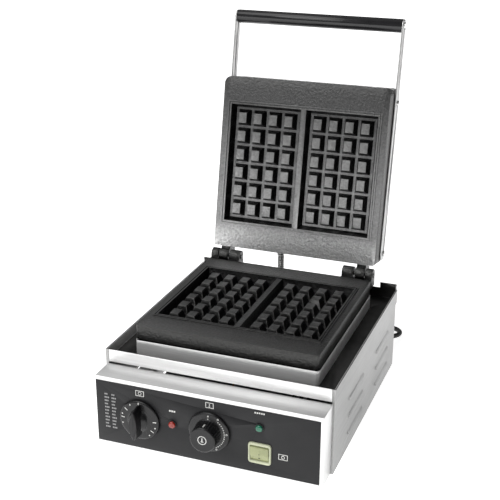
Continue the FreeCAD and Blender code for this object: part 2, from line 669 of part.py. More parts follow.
def heating():
    plate_middle = SIZES["front"] + SIZES["plate_front"] + SIZES["plate_depth"] / 2
    floor_under = HINGE.z - SIZES["face_drop"] - SIZES["cavity_depth"] - SIZES["cast_floor"]
    level = floor_under - SIZES["element_radius"]
    keep("lower_heating_element", element(plate_middle, level, SIZES["foot"] + SIZES["tray_floor"] - 14))

    local_middle = -SIZES["hinge_back"] - SIZES["plate_depth"] / 2
    behind = SIZES["cavity_depth"] + SIZES["cast_floor"] + SIZES["element_radius"]
    keep("upper_heating_element", element(local_middle, behind, behind + 22), LID_OPEN)

    studs = []
    for x, y in STUD_PLACES:
        place = (x, f"{PLATE_MIDDLE} + {y}")
        shank = rod("stud_radius", "plate_level - cavity_depth - cast_floor + 4 - tray_floor + 6",
                    (*place, "foot + tray_floor - 6"), "z")
        nut = rod("stud_radius + 2.2", "4", (*place, "foot + tray_floor - 4"), "z")
        studs.append(fuse(shank, nut))
    keep("lower_plate_studs", group(*studs))

    studs = []
    for x, y in STUD_PLACES:
        place = (x, f"-hinge_back - plate_depth / 2 + {y}")
        shank = rod("stud_radius", "cast_depth + cover_depth - cavity_depth - cast_floor + 4 + 3",
                    (*place, "cavity_depth + cast_floor - 4"), "z")
        nut = fuse(rod("stud_radius + 2.4", "4", (*place, "cast_depth + cover_depth"), "z"),
                   ball("stud_radius + 1.2", (*place, "cast_depth + cover_depth + 3.4")))
        studs.append(fuse(shank, nut))
    keep("cover_studs", group(*studs), LID_OPEN)

    edge = "plinth_inset + cast_wall + 1"
    pad_at = (f"-plate_width / 2 + {edge}", f"-hinge_back - plate_depth + {edge}",
              "cavity_depth + cast_floor + 2 * element_radius + 2")
    blanket = box((f"plate_width - 2 * ({edge})", f"plate_depth - 2 * ({edge})", "blanket"), pad_at)
    below = f"{pad_at[2]} - 2"
    stud_holes = [rod("stud_radius", "blanket + 6", (x, f"-hinge_back - plate_depth / 2 + {y}", below), "z")
                  for x, y in STUD_PLACES]
    lead_holes = [rod("element_radius + 1", "blanket + 6",
                      (x, "-hinge_back - plate_depth / 2 - leg_length / 2", below), "z")
                  for x in ELEMENT_ENDS]
    keep("lid_insulation", cut(blanket, *stud_holes, *lead_holes), LID_OPEN)

    margin = "plinth_inset + 2"
    shield = box((f"plate_width - 2 * ({margin})", f"plate_depth - 2 * ({margin})", "0.8"),
                 (f"-plate_width / 2 + {margin}", f"{PLATE_MIDDLE} - plate_depth / 2 + {margin}",
                  "foot + tray_floor + sheet + 2"))
    holes = [rod("stud_radius", "4", (x, f"{PLATE_MIDDLE} + {y}", "foot + tray_floor + sheet"), "z")
             for x, y in STUD_PLACES]
    holes += [rod("element_radius + 1", "4",
                  (x, f"{PLATE_MIDDLE} - leg_length / 2", "foot + tray_floor + sheet"), "z")
              for x in ELEMENT_ENDS]
    holes += [rod("bulb_radius", "4",
                  ("0", f"{PLATE_MIDDLE} - leg_length / 2 + leg_inset", "foot + tray_floor + sheet"), "z")]
    keep("heat_shield", cut(shield, *holes))

    bulb_level = "foot + plate_level - cavity_depth - cast_floor - bulb_radius"
    keep("thermostat_bulb", rod("bulb_radius", "bulb_length",
                                ("0", f"{PLATE_MIDDLE} - bulb_length / 2", bulb_level)))
    front_end = Vector(0, plate_middle - SIZES["bulb_length"] / 2, floor_under - SIZES["bulb_radius"])
    near = plate_middle - SIZES["leg_length"] / 2 + SIZES["leg_inset"]
    unit_back = SIZES["front"] + SIZES["sheet"] + SIZES["unit_depth"]
    low = SIZES["foot"] + SIZES["thermostat_rise"]
    path = [front_end, Vector(0, near, front_end.z), Vector(0, near, low + 24),
            Vector(0, unit_back + 26, low), Vector(0, unit_back, low)]
    keep("thermostat_capillary", tube("capillary", path, [9, 9, 12]))


# ------------------------------------------------------------------ controls


def control_unit(name, across, rise, deep):
    """A switch block behind the panel, with a bore for the knob's shaft and a rear terminal hump."""
    case = rounded(("unit_size", deep, "unit_size"),
                   (f"({across} - unit_size / 2)", "(front + sheet)", f"(foot + {rise} - unit_size / 2)"),
                   "3")
    bore = rod("shaft_radius + shaft_play", "14", (across, "front", f"foot + {rise}"))
    keep(name, cut(case, bore))


def knob_shaft(name, across, rise):
    start = "front - knob_gap - fascia_thick - skirt_thick"
    keep(name, rod("shaft_radius", "12 + skirt_thick + fascia_thick + knob_gap",
                   (across, start, f"foot + {rise}")))


def knobs():
    back = "front - fascia_thick - knob_gap"
    for name, across, rise, hub in (("timer", "timer_at", "timer_rise", "knob_radius * 0.5"),
                                    ("thermostat", "thermostat_at", "thermostat_rise", "knob_radius * 0.65")):
        centre = (across, f"foot + {rise}")
        skirt = cone("knob_radius - 1.5", "knob_radius", "skirt_thick",
                     (centre[0], f"{back} - skirt_thick", centre[1]))
        if name == "timer":
            length = "knob_reach - knob_gap - fascia_thick - skirt_thick - 2"
            grip = rounded(("11", f"({length} + 1)", "44"),
                           (f"({across} - 5.5)", "(front - knob_reach + 2)", f"(foot + {rise} - 22)"), "3")
            boss = rod(hub, "7", (centre[0], f"{back} - skirt_thick - 6", centre[1]))
            solid = fuse(skirt, boss, grip)
        else:
            nose = cone(f"{hub} - 1.5", hub, "knob_reach - knob_gap - fascia_thick - skirt_thick + 1",
                        (centre[0], "front - knob_reach", centre[1]))
            solid = fuse(skirt, nose)
        socket = rod("shaft_radius", "skirt_thick + 1", (centre[0], f"{back} - skirt_thick", centre[1]))
        keep(f"{name}_knob", cut(solid, socket))
        knob_shaft(f"{name}_shaft", across, rise)
        control_unit(f"{name}_unit", across, rise, "unit_depth")


def lamps():
    for name, across, rise in (("heat", "heat_lamp_at", "heat_lamp_rise"),
                               ("power", "power_lamp_at", "power_lamp_rise")):
        height = f"foot + {rise}"
        bezel = rod("lamp_radius", "1.2", (across, "front - fascia_thick - 1.2", height))
        body = rod("lamp_body", "20", (across, "front - fascia_thick - 0.2", height))
        seat = rod("lamp_radius - 1.2", "4", (across, "front - fascia_thick - 1.2", height))
        keep(f"{name}_lamp_holder", cut(fuse(bezel, body), seat))
        dome = common(ball("7", (across, "front - fascia_thick + 3", height)),
                      rod("lamp_radius - 1.2", "6.8", (across, "front - fascia_thick - 4", height)))
        keep(f"{name}_lamp_lens", dome)


def power_switch():
    left = "switch_at - bezel_width / 2"
    low = "foot + switch_rise - bezel_height / 2"
    bezel = box(("bezel_width", "2.2", "bezel_height"), (left, "front - fascia_thick - 2.2", low))
    body = box(("bezel_width - 4", "20", "bezel_height - 4"),
               (f"{left} + 2", "front - fascia_thick - 0.2", f"{low} + 2"))
    well = box(("rocker_width + 1", "12", "rocker_height + 1"),
               ("switch_at - rocker_width / 2 - 0.5", "front - fascia_thick - 3",
                "foot + switch_rise - rocker_height / 2 - 0.5"))
    axle_hole = rod("1.5 + shaft_play", "rocker_width + 2 * axle_stub + 0.1",
                    ("switch_at - rocker_width / 2 - axle_stub - 0.05", "front + 2.5", "foot + switch_rise"),
                    "x")
    keep("switch_housing", cut(fuse(bezel, body), well, axle_hole))

    pivot = Vector(SIZES["switch_at"], SIZES["front"] + 2.5, SIZES["foot"] + SIZES["switch_rise"])
    half = SIZES["rocker_height"] / 2 - 0.4
    reach = 6.6
    slope = math.tan(math.radians(SIZES["rocker_tilt"]))
    outline = [Vector(0, 1.6, -half + 1.5), Vector(0, -reach + half * slope, -half), Vector(0, -reach, 0),
               Vector(0, -reach + half * slope, half), Vector(0, 1.6, half - 1.5)]
    face = Part.Face(Part.makePolygon(outline + outline[:1]))
    wide, stub = SIZES["rocker_width"], SIZES["axle_stub"]
    rocker = face.extrude(Vector(wide, 0, 0)).translated(Vector(-wide / 2, 0, 0))
    axle = Part.makeCylinder(1.5, wide + 2 * stub, Vector(-wide / 2 - stub, 0, 0), Vector(1, 0, 0))
    solid = doc.addObject("Part::Feature", "rocker")
    solid.Shape = rocker.fuse(axle).removeSplitter()
    solid.Placement = Placement(pivot, Rotation(Vector(1, 0, 0), SIZES["rocker_tilt"]))
    keep("switch_rocker", solid)


def wiring():
    """The terminal block, and the bundles that run from it to the switch and the two controls."""
    block = box(("46", "22", "18"), ("50", "front + rear - 66", "foot + sheet"))
    slots = [box(("6", "10", "6"), (f"53 + {i} * 10", "front + rear - 72", "foot + sheet + 7"))
             for i in range(4)]
    keep("terminal_block", cut(block, *slots))

    front, foot = SIZES["front"], SIZES["foot"]
    start_y = front + SIZES["rear"] - 66
    unit_back = front + SIZES["sheet"] + SIZES["unit_depth"]
    low = foot + 12
    runs = [
        [Vector(73, start_y, low), Vector(73, front + 60, low), Vector(73, front + 40, foot + 32),
         Vector(73, front + 20, foot + 32)],
        [Vector(63, start_y, low), Vector(63, front + 90, low), Vector(20, front + 70, foot + 34),
         Vector(18, unit_back + 8, foot + 40), Vector(18, unit_back, foot + 40)],
        [Vector(53, start_y, low), Vector(53, front + 130, low), Vector(-80, front + 80, foot + 30),
         Vector(-85, unit_back + 12, foot + 40), Vector(-85, unit_back, foot + 40)],
    ]
    bundles = []
    for points in runs:
        radii = [min(radius, 14) for radius in loose_radii(points)]
        bundles.append(tube("2.4", points, radii))
    keep("wiring_loom", group(*bundles))


# ------------------------------------------------------------------ conduit and mains lead


def conduit():
    """The armoured lead from the base to the lid, with a ferrule at each end."""
    low = "foot + tray_floor"
    at = ("conduit_at", "front + conduit_back")
    hose_top = HINGE.z + tipped(SIZES["hinge_back"], 0)[1] - SIZES["ferrule"] - 4.5
    hose = rod("conduit_radius", f"{hose_top} - foot - tray_floor", (*at, low), "z")
    keep("lid_conduit", hose)
    nut = rod("conduit_radius + 3", "4", (*at, f"{low} + sheet"), "z")
    bore = rod("conduit_radius", "8", (*at, f"{low} - 1"), "z")
    keep("conduit_base_nut", cut(nut, bore))

    edge_back, edge_up = tipped(SIZES["hinge_back"], 0)
    target = Vector(SIZES["conduit_at"], SIZES["front"] + SIZES["conduit_back"], 0)
    rise = (target.y - HINGE.y - edge_back) / math.sin(OPEN)
    local = Vector(SIZES["conduit_at"], -SIZES["hinge_back"], rise)
    ferrule = doc.addObject("Part::Cylinder", "ferrule")
    bind(ferrule, Radius="conduit_radius + 0.8", Height="ferrule")
    ferrule.Placement = Placement(local, TURNS["y"])
    keep("conduit_lid_ferrule", ferrule, LID_OPEN)


def mains_lead():
    rear = SIZES["front"] + SIZES["rear"]
    flange = rod("gland_radius", "3", ("gland_at", "front + rear", "gland_rise"))
    spigot = rod("gland_radius - 2", "8 + sheet", ("gland_at", "front + rear - sheet - 8", "gland_rise"))
    through = rod("cord_radius", "20", ("gland_at", "front + rear - 12", "gland_rise"))
    keep("cord_gland", cut(fuse(flange, spigot), through))
    taper = cone("cord_radius + 3", "cord_radius + 1", "relief_length",
                 ("gland_at", "front + rear + 3", "gland_rise"))
    bore = rod("cord_radius", "relief_length + 2", ("gland_at", "front + rear + 2", "gland_rise"))
    keep("strain_relief", cut(taper, bore))

    floor = SIZES["cord_radius"]
    exit_at, exit_rise = SIZES["gland_at"], SIZES["gland_rise"]
    coil_at = Vector(4, rear + 76, 0)
    # Out of the gland, round to the right, back on itself and down to the coil.
    route = [
        Vector(exit_at, rear - 6, exit_rise),
        Vector(exit_at, rear + 39.5, exit_rise),
        Vector(80.5, rear + 60, 21.5),
        Vector(115.9, rear + 60, 17.4),
        Vector(136.4, rear + 80.5, 13.5),
        Vector(136.4, rear + 109.5, 8),
        Vector(115.9, rear + 130, floor),
        Vector(70, rear + 128, floor),
        Vector(24, rear + 122, floor),
    ]
    tail = [
        Vector(-21, rear + 121, floor),
        Vector(-44, rear + 115, floor),
        Vector(-66, rear + 111, 7),
        Vector(-88, rear + 109, 14),
        Vector(-108, rear + 109, 18.5),
    ]
    for name, path in (("power_cord", route), ("plug_lead", tail)):
        radii = loose_radii(path)
        lead = keep(name, tube("cord_radius", path, radii))
        doc.recompute()
        section = math.pi * SIZES["cord_radius"] ** 2
        length = rounded_wire(path, radii).Length
        print(name, "bends", [round(radius, 1) for radius in radii], "length", round(length, 1),
              "volume over section times length", round(lead.Shape.Volume / section / length, 4))

    ring_at = (str(coil_at.x), str(coil_at.y))
    ring = cut(rod("coil_radius + coil_width / 2", "coil_height", (*ring_at, "0"), "z"),
               rod("coil_radius - coil_width / 2", "3 * coil_height", (*ring_at, "-1"), "z"))
    keep("cord_coil", ring)

    tip = tail[-1]
    collar = Part.makeCone(6, 9, 12, tip, Vector(-1, 0, 0))
    grip = Part.makeCylinder(15, 16, tip + Vector(-12, 0, 0), Vector(-1, 0, 0))
    face = Part.makeCylinder(18.5, 12, tip + Vector(-28, 0, 0), Vector(-1, 0, 0))
    body = doc.addObject("Part::Feature", "plug_body")
    body.Shape = collar.fuse([grip, face]).removeSplitter()
    keep("power_plug", body)
    pins = [Part.makeCylinder(2.4, 19, tip + Vector(-40, 0, offset), Vector(-1, 0, 0))
            for offset in (-9.5, 9.5)]
    prongs = doc.addObject("Part::Feature", "plug_pins")
    prongs.Shape = Part.makeCompound(pins)
    keep("plug_pins", prongs)


# ------------------------------------------------------------------ build and write

control_box()
for side_name, side_sign in SIDES:
    side_panel(f"side_panel_{side_name}", side_sign)
rear_and_bottom()
feet()
drip_tray()
lower_plate()
upper_plate()
hinge_pins()
lid_cover()
handle()
heating()
knobs()
lamps()
power_switch()
wiring()
conduit()
mains_lead()
doc.recompute()

for thing in doc.Objects:
    if "Invalid" in thing.State or "Error" in thing.State:
        raise RuntimeError(f"{thing.Name} ({thing.Label}) failed: {thing.State}")

os.makedirs("parts", exist_ok=True)
for node, thing in parts.items():
    shape = thing.Shape
    if shape.isNull() or not shape.isValid() or not shape.Solids:
        raise RuntimeError(f"{node} has no valid solid")
    shape.exportStep(f"parts/{node}.step")
    print(f"{node:26} {len(shape.Solids)} solid(s) {shape.Volume / 1000:9.2f} cm3")
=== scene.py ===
"""Looks of the double waffle baker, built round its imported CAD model.  Metres, Z up."""
import json
import math

import bmesh
import bpy
from mathutils import Matrix, Vector


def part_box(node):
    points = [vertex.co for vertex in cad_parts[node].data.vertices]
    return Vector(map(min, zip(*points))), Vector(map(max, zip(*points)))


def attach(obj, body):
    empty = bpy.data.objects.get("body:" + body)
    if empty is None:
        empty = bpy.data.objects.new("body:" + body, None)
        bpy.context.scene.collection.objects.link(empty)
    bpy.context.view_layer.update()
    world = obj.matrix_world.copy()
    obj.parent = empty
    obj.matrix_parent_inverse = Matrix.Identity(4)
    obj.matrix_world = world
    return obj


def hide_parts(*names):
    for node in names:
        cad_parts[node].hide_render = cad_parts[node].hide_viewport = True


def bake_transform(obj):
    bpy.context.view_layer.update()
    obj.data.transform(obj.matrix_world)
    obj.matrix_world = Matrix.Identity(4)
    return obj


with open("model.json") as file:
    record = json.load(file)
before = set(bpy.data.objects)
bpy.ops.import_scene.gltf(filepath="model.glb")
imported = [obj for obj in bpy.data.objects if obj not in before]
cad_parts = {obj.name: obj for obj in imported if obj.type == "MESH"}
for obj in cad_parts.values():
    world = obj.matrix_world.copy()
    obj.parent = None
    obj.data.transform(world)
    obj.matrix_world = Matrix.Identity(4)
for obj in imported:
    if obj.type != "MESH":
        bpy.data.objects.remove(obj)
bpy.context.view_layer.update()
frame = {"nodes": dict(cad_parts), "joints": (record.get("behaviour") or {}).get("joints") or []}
nodes = frame["nodes"]
scene = bpy.context.scene

MM = 0.001
CORD_DIAMETER = 7 * MM
LID_HINGE = next(j for j in frame["joints"] if j["name"] == "lid_hinge")
HINGE = Vector(LID_HINGE["pos_m"])
OPEN_ANGLE = LID_HINGE["range_deg"][1]
LID_FACE = (0, -math.sin(math.radians(OPEN_ANGLE)), -math.cos(math.radians(OPEN_ANGLE)))


def corners(node):
    low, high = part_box(node)
    return Vector(low), Vector(high)


def centre(node):
    low, high = corners(node)
    return (low + high) / 2


PANEL_FRONT = corners("fascia_plate")[0].y
REAR = corners("rear_panel")[1].y


# ---------------------------------------------------------------- camera

AZIMUTH, ELEVATION, ROLL = math.radians(20.45), math.radians(21.24), math.radians(-0.23)
DISTANCE, LENS = 1.3017, 75.05
TARGET = Vector((-0.66 * MM, corners("fascia_plate")[1].y + 150 * MM, 230.7 * MM))


def place_camera():
    toward = Vector((math.sin(AZIMUTH) * math.cos(ELEVATION), -math.cos(AZIMUTH) * math.cos(ELEVATION),
                     math.sin(ELEVATION)))
    data = bpy.data.cameras.new("camera")
    data.lens = LENS
    data.sensor_width = 36
    camera = bpy.data.objects.new("camera", data)
    scene.collection.objects.link(camera)
    camera.location = TARGET + toward * DISTANCE
    aim = toward.to_track_quat("Z", "Y").to_matrix().to_4x4()
    camera.matrix_world = Matrix.Translation(camera.location) @ aim @ Matrix.Rotation(-ROLL, 4, "Z")
    scene.camera = camera


place_camera()


# ---------------------------------------------------------------- material building blocks

class Finish:
    """A Principled material with short calls for the textures that feed it."""

    def __init__(self, name, color, roughness, metallic=0.0, **sockets):
        self.material = bpy.data.materials.new(name)
        self.material.use_nodes = True
        self.tree = self.material.node_tree
        self.shader = self.tree.nodes["Principled BSDF"]
        self.set(self.shader, **{"Base Color": (*color, 1), "Roughness": roughness, "Metallic": metallic},
                 **sockets)
        self.coordinates = self.tree.nodes.new("ShaderNodeTexCoord").outputs["Object"]
        self.normal = None

    def set(self, node, **values):
        for name, value in values.items():
            node.inputs[name].default_value = value

    def link(self, output, socket):
        self.tree.links.new(output, socket)

    def stretched(self, scale):
        mapping = self.tree.nodes.new("ShaderNodeMapping")
        mapping.inputs["Scale"].default_value = scale
        self.link(self.coordinates, mapping.inputs["Vector"])
        return mapping.outputs["Vector"]

    def noise(self, scale, detail, stretch=(1, 1, 1)):
        texture = self.tree.nodes.new("ShaderNodeTexNoise")
        self.set(texture, Scale=scale, Detail=detail, Roughness=0.55)
        self.link(self.stretched(stretch), texture.inputs["Vector"])
        return texture.outputs["Fac"]

    def cells(self, scale):
        texture = self.tree.nodes.new("ShaderNodeTexVoronoi")
        self.set(texture, Scale=scale)
        self.link(self.coordinates, texture.inputs["Vector"])
        return texture.outputs["Distance"]

    def spread(self, value, low, high, new_low, new_high):
        remap = self.tree.nodes.new("ShaderNodeMapRange")
        self.set(remap, **{"From Min": low, "From Max": high, "To Min": new_low, "To Max": new_high})
        self.link(value, remap.inputs["Value"])
        return remap.outputs["Result"]

    def mixed(self, share, first, second):
        """From the first colour to the second as share goes from 0 to 1; each is a socket or a triple."""
        mix = self.tree.nodes.new("ShaderNodeMix")
        mix.data_type = "RGBA"
        self.link(share, mix.inputs["Factor"])
        for name, value in (("A", first), ("B", second)):
            if isinstance(value, tuple):
                mix.inputs[name].default_value = (*value, 1)
            else:
                self.link(value, mix.inputs[name])
        return mix.outputs["Result"]

    def facing(self, direction, low, high):
        """1 where the surface faces a direction of the piece's own frame, 0 where it faces elsewhere."""
        normal = self.tree.nodes.new("ShaderNodeTexCoord").outputs["Normal"]
        dot = self.tree.nodes.new("ShaderNodeVectorMath")
        dot.operation = "DOT_PRODUCT"
        dot.inputs[1].default_value = direction
        self.link(normal, dot.inputs[0])
        return self.spread(dot.outputs["Value"], low, high, 0.0, 1.0)

    def times(self, first, second):
        product = self.tree.nodes.new("ShaderNodeMath")
        product.operation = "MULTIPLY"
        self.link(first, product.inputs[0])
        self.link(second, product.inputs[1])
        return product.outputs["Value"]

    def place(self, axis):
        split = self.tree.nodes.new("ShaderNodeSeparateXYZ")
        self.link(self.coordinates, split.inputs["Vector"])
        return split.outputs[axis]

    def span(self, axis, start, end):
        """0 up to one plane across an axis, rising to 1 at the other."""
        return self.spread(self.place(axis), start, end, 0.0, 1.0)

    def within(self, axis, low, high, fade):
        """1 between two planes across an axis, fading to 0 just outside them."""
        place = self.place(axis)
        above = self.spread(place, low - fade, low, 0.0, 1.0)
        below = self.spread(place, high, high + fade, 1.0, 0.0)
        return self.times(above, below)

    def tint(self, value, dark, light, low=0.3, high=0.7):
        ramp = self.tree.nodes.new("ShaderNodeValToRGB")
        ramp.color_ramp.elements[0].position = low
        ramp.color_ramp.elements[0].color = (*dark, 1)
        ramp.color_ramp.elements[1].position = high
        ramp.color_ramp.elements[1].color = (*light, 1)
        self.link(value, ramp.inputs["Fac"])
        return ramp.outputs["Color"]

    def edge_wear_and_glint(self, color, strength, lighter=(0.3, 0.3, 0.3)):
        """Edges painted lighter, partly wear and partly painted glint.

        Pointiness, 0.5 on a flat face, picks them out of the mesh.
        """
        geometry = self.tree.nodes.new("ShaderNodeNewGeometry")
        edge = self.spread(geometry.outputs["Pointiness"], 0.5, 0.55, 0.0, strength)
        return self.mixed(edge, color, lighter)

    def color(self, output):
        self.link(output, self.shader.inputs["Base Color"])

    def rough(self, value, low, high, new_low, new_high):
        self.link(self.spread(value, low, high, new_low, new_high), self.shader.inputs["Roughness"])

    def bump(self, height, strength, distance):
        bump = self.tree.nodes.new("ShaderNodeBump")
        self.set(bump, Strength=strength, Distance=distance)
        self.link(height, bump.inputs["Height"])
        if self.normal:
            self.link(self.normal, bump.inputs["Normal"])
        self.normal = bump.outputs["Normal"]
        self.link(self.normal, self.shader.inputs["Normal"])


def brushed(name, along, light=(0.60, 0.60, 0.595), dark=(0.46, 0.46, 0.46), metal=1.0):
    """Stainless sheet ground in one direction, with faint smears."""
    finish = Finish(name, light, 0.3, metal)
    stretch = [900.0, 900.0, 900.0]
    stretch["xyz".index(along)] = 7.0
    grain = finish.noise(1.0, 4.0, tuple(stretch))
    smear = finish.noise(9.0, 3.0)
    finish.color(finish.tint(grain, dark, light, 0.25, 0.75))
    finish.rough(smear, 0.3, 0.7, 0.30, 0.44)
    finish.bump(grain, 0.6, 0.00022)
    return finish.material


def coated_casting(name, face, axis, painted_tones, fades, cooking_side):
    """Cast aluminium under a dark non-stick film, with a painted reflection where it faces the waffle.

    The painted faces go from the first tone to the second and on to the third along an axis.
    """
    finish = Finish(name, (0.11, 0.11, 0.11), 0.34, 0.95)
    leather = finish.noise(340.0, 3.0)
    fine = finish.noise(1300.0, 2.0)
    film = finish.tint(leather, (0.009, 0.009, 0.009), (0.020, 0.020, 0.020), 0.35, 0.65)
    # Painted light: the faces toward the waffle grade through three lighter tones along an axis.
    painted_gradient = finish.mixed(finish.span(axis, *fades[0]), (painted_tones[0],) * 3, (painted_tones[1],) * 3)
    painted_gradient = finish.mixed(finish.span(axis, *fades[1]), painted_gradient, (painted_tones[2],) * 3)
    painted_light_tone = finish.mixed(finish.spread(leather, 0.35, 0.65, 0.0, 0.3), painted_gradient, (0.02, 0.02, 0.02))
    # Painted reflection: only faces toward the waffle, away from the hinge, take the lighter painted tones.
    painted_light_mask = finish.times(finish.facing(face, 0.6, 0.95), finish.within(*cooking_side, 1 * MM))
    base = finish.mixed(painted_light_mask, film, painted_light_tone)
    # Edges painted a little lighter: partly wear, partly painted glint.
    finish.color(finish.edge_wear_and_glint(base, strength=0.1, lighter=(0.42, 0.42, 0.41)))
    finish.rough(finish.noise(26.0, 4.0), 0.3, 0.7, 0.28, 0.38)
    finish.bump(leather, 0.6, 0.0016)
    finish.bump(fine, 0.3, 0.0004)
    return finish.material


def hinge_steel(name):
    finish = Finish(name, (0.10, 0.10, 0.10), 0.3, 0.95)
    soot = finish.noise(160.0, 4.0)
    # Edges painted much lighter: painted glints, partly wear.
    finish.color(finish.edge_wear_and_glint(finish.tint(soot, (0.035, 0.035, 0.035), (0.13, 0.13, 0.128)), strength=0.6))
    finish.rough(soot, 0.3, 0.7, 0.24, 0.42)
    finish.bump(soot, 0.3, 0.0004)
    return finish.material


def tray_steel(name):
    """The drip tray: ground steel on its front and sides, darker inside and at the back."""
    low, high = corners("drip_tray")
    skin = 1.6 * MM
    finish = Finish(name, (0.5, 0.5, 0.5), 0.32, 0.7)
    grain = finish.noise(1.0, 4.0, (7.0, 900.0, 900.0))
    mottle = finish.noise(14.0, 4.0)
    inside = finish.times(finish.within("X", low.x + skin, high.x - skin, 0.5 * MM),
                          finish.within("Y", low.y + skin, 1.0, 0.5 * MM))
    clean = finish.tint(grain, (0.66, 0.66, 0.66), (0.80, 0.80, 0.795), 0.25, 0.75)
    # Darker and mottled inside the walls and at the back.
    dark_inside = finish.tint(mottle, (0.02, 0.0196, 0.019), (0.06, 0.059, 0.058), 0.35, 0.7)
    finish.color(finish.mixed(inside, clean, dark_inside))
    finish.rough(mottle, 0.3, 0.7, 0.30, 0.42)
    finish.bump(grain, 0.6, 0.00022)
    return finish.material


def moulded(name, color, roughness=0.35, speckle=0.25):
    """Moulded plastic: slight tone changes and a fine spark-eroded texture."""
    finish = Finish(name, color, roughness, **{"Specular IOR Level": 0.35})
    tone = finish.noise(60.0, 3.0)
    texture = finish.noise(1500.0, 2.0)
    finish.color(finish.tint(tone, tuple(0.85 * c for c in color), tuple(min(1.0, 1.12 * c) for c in color)))
    finish.rough(tone, 0.3, 0.7, roughness - 0.05, roughness + 0.07)
    finish.bump(texture, speckle, 0.00008)
    return finish.material


def plated(name, color=(0.72, 0.72, 0.71), roughness=0.2):
    finish = Finish(name, color, roughness, 1.0)
    mottle = finish.noise(120.0, 4.0)
    finish.color(finish.tint(mottle, tuple(0.8 * c for c in color), color))
    finish.rough(mottle, 0.3, 0.7, roughness - 0.06, roughness + 0.12)
    finish.bump(finish.noise(700.0, 2.0), 0.06, 0.00008)
    return finish.material


def clear_lens(name, color):
    finish = Finish(name, color, 0.12, 0.0, IOR=1.49)
    finish.shader.inputs["Coat Weight"].default_value = 0.25
    glow = finish.noise(260.0, 2.0)
    finish.color(finish.tint(glow, tuple(0.6 * c for c in color), tuple(min(1.0, 1.35 * c) for c in color)))
    finish.rough(glow, 0.3, 0.7, 0.08, 0.2)
    finish.bump(finish.cells(700.0), 0.25, 0.0003)
    return finish.material


def oxidised(name):
    finish = Finish(name, (0.2, 0.17, 0.15), 0.5, 0.9)
    heat = finish.noise(30.0, 4.0)
    finish.color(finish.tint(heat, (0.10, 0.085, 0.08), (0.30, 0.25, 0.20)))
    finish.rough(heat, 0.3, 0.7, 0.4, 0.6)
    finish.bump(finish.noise(800.0, 2.0), 0.15, 0.0001)
    return finish.material


def fibre_blanket(name):
    finish = Finish(name, (0.8, 0.78, 0.72), 0.95)
    fibre = finish.noise(300.0, 6.0, (1, 1, 6))
    finish.color(finish.tint(fibre, (0.62, 0.60, 0.54), (0.88, 0.87, 0.82)))
    finish.bump(fibre, 0.8, 0.001)
    return finish.material


def panel_paint(name):
    """Satin black printed panel with a trace of dust."""
    finish = Finish(name, (0.014, 0.014, 0.015), 0.5, **{"Specular IOR Level": 0.22})
    dust = finish.noise(22.0, 4.0)
    finish.color(finish.tint(dust, (0.012, 0.012, 0.013), (0.019, 0.019, 0.020)))
    finish.rough(dust, 0.3, 0.7, 0.42, 0.56)
    finish.bump(finish.noise(1100.0, 2.0), 0.10, 0.00008)
    return finish.material


def ink(name, color):
    finish = Finish(name, color, 0.55)
    wear = finish.noise(900.0, 3.0)
    finish.color(finish.tint(wear, tuple(0.7 * c for c in color), color, 0.25, 0.55))
    return finish.material


def bare_floor(name):
    """A white light table, brightest in front: its own light keeps the shadows on it pale."""
    finish = Finish(name, (0.9, 0.9, 0.9), 0.8, **{"Emission Color": (1, 1, 1, 1), "Emission Strength": 0.5})
    finish.color(finish.tint(finish.noise(3.0, 2.0), (0.88, 0.88, 0.88), (0.9, 0.9, 0.9)))
    glow = finish.spread(finish.place("Y"), 0.0, -0.9, 0.82, 2.2)
    finish.link(glow, finish.shader.inputs["Emission Strength"])
    return finish.material


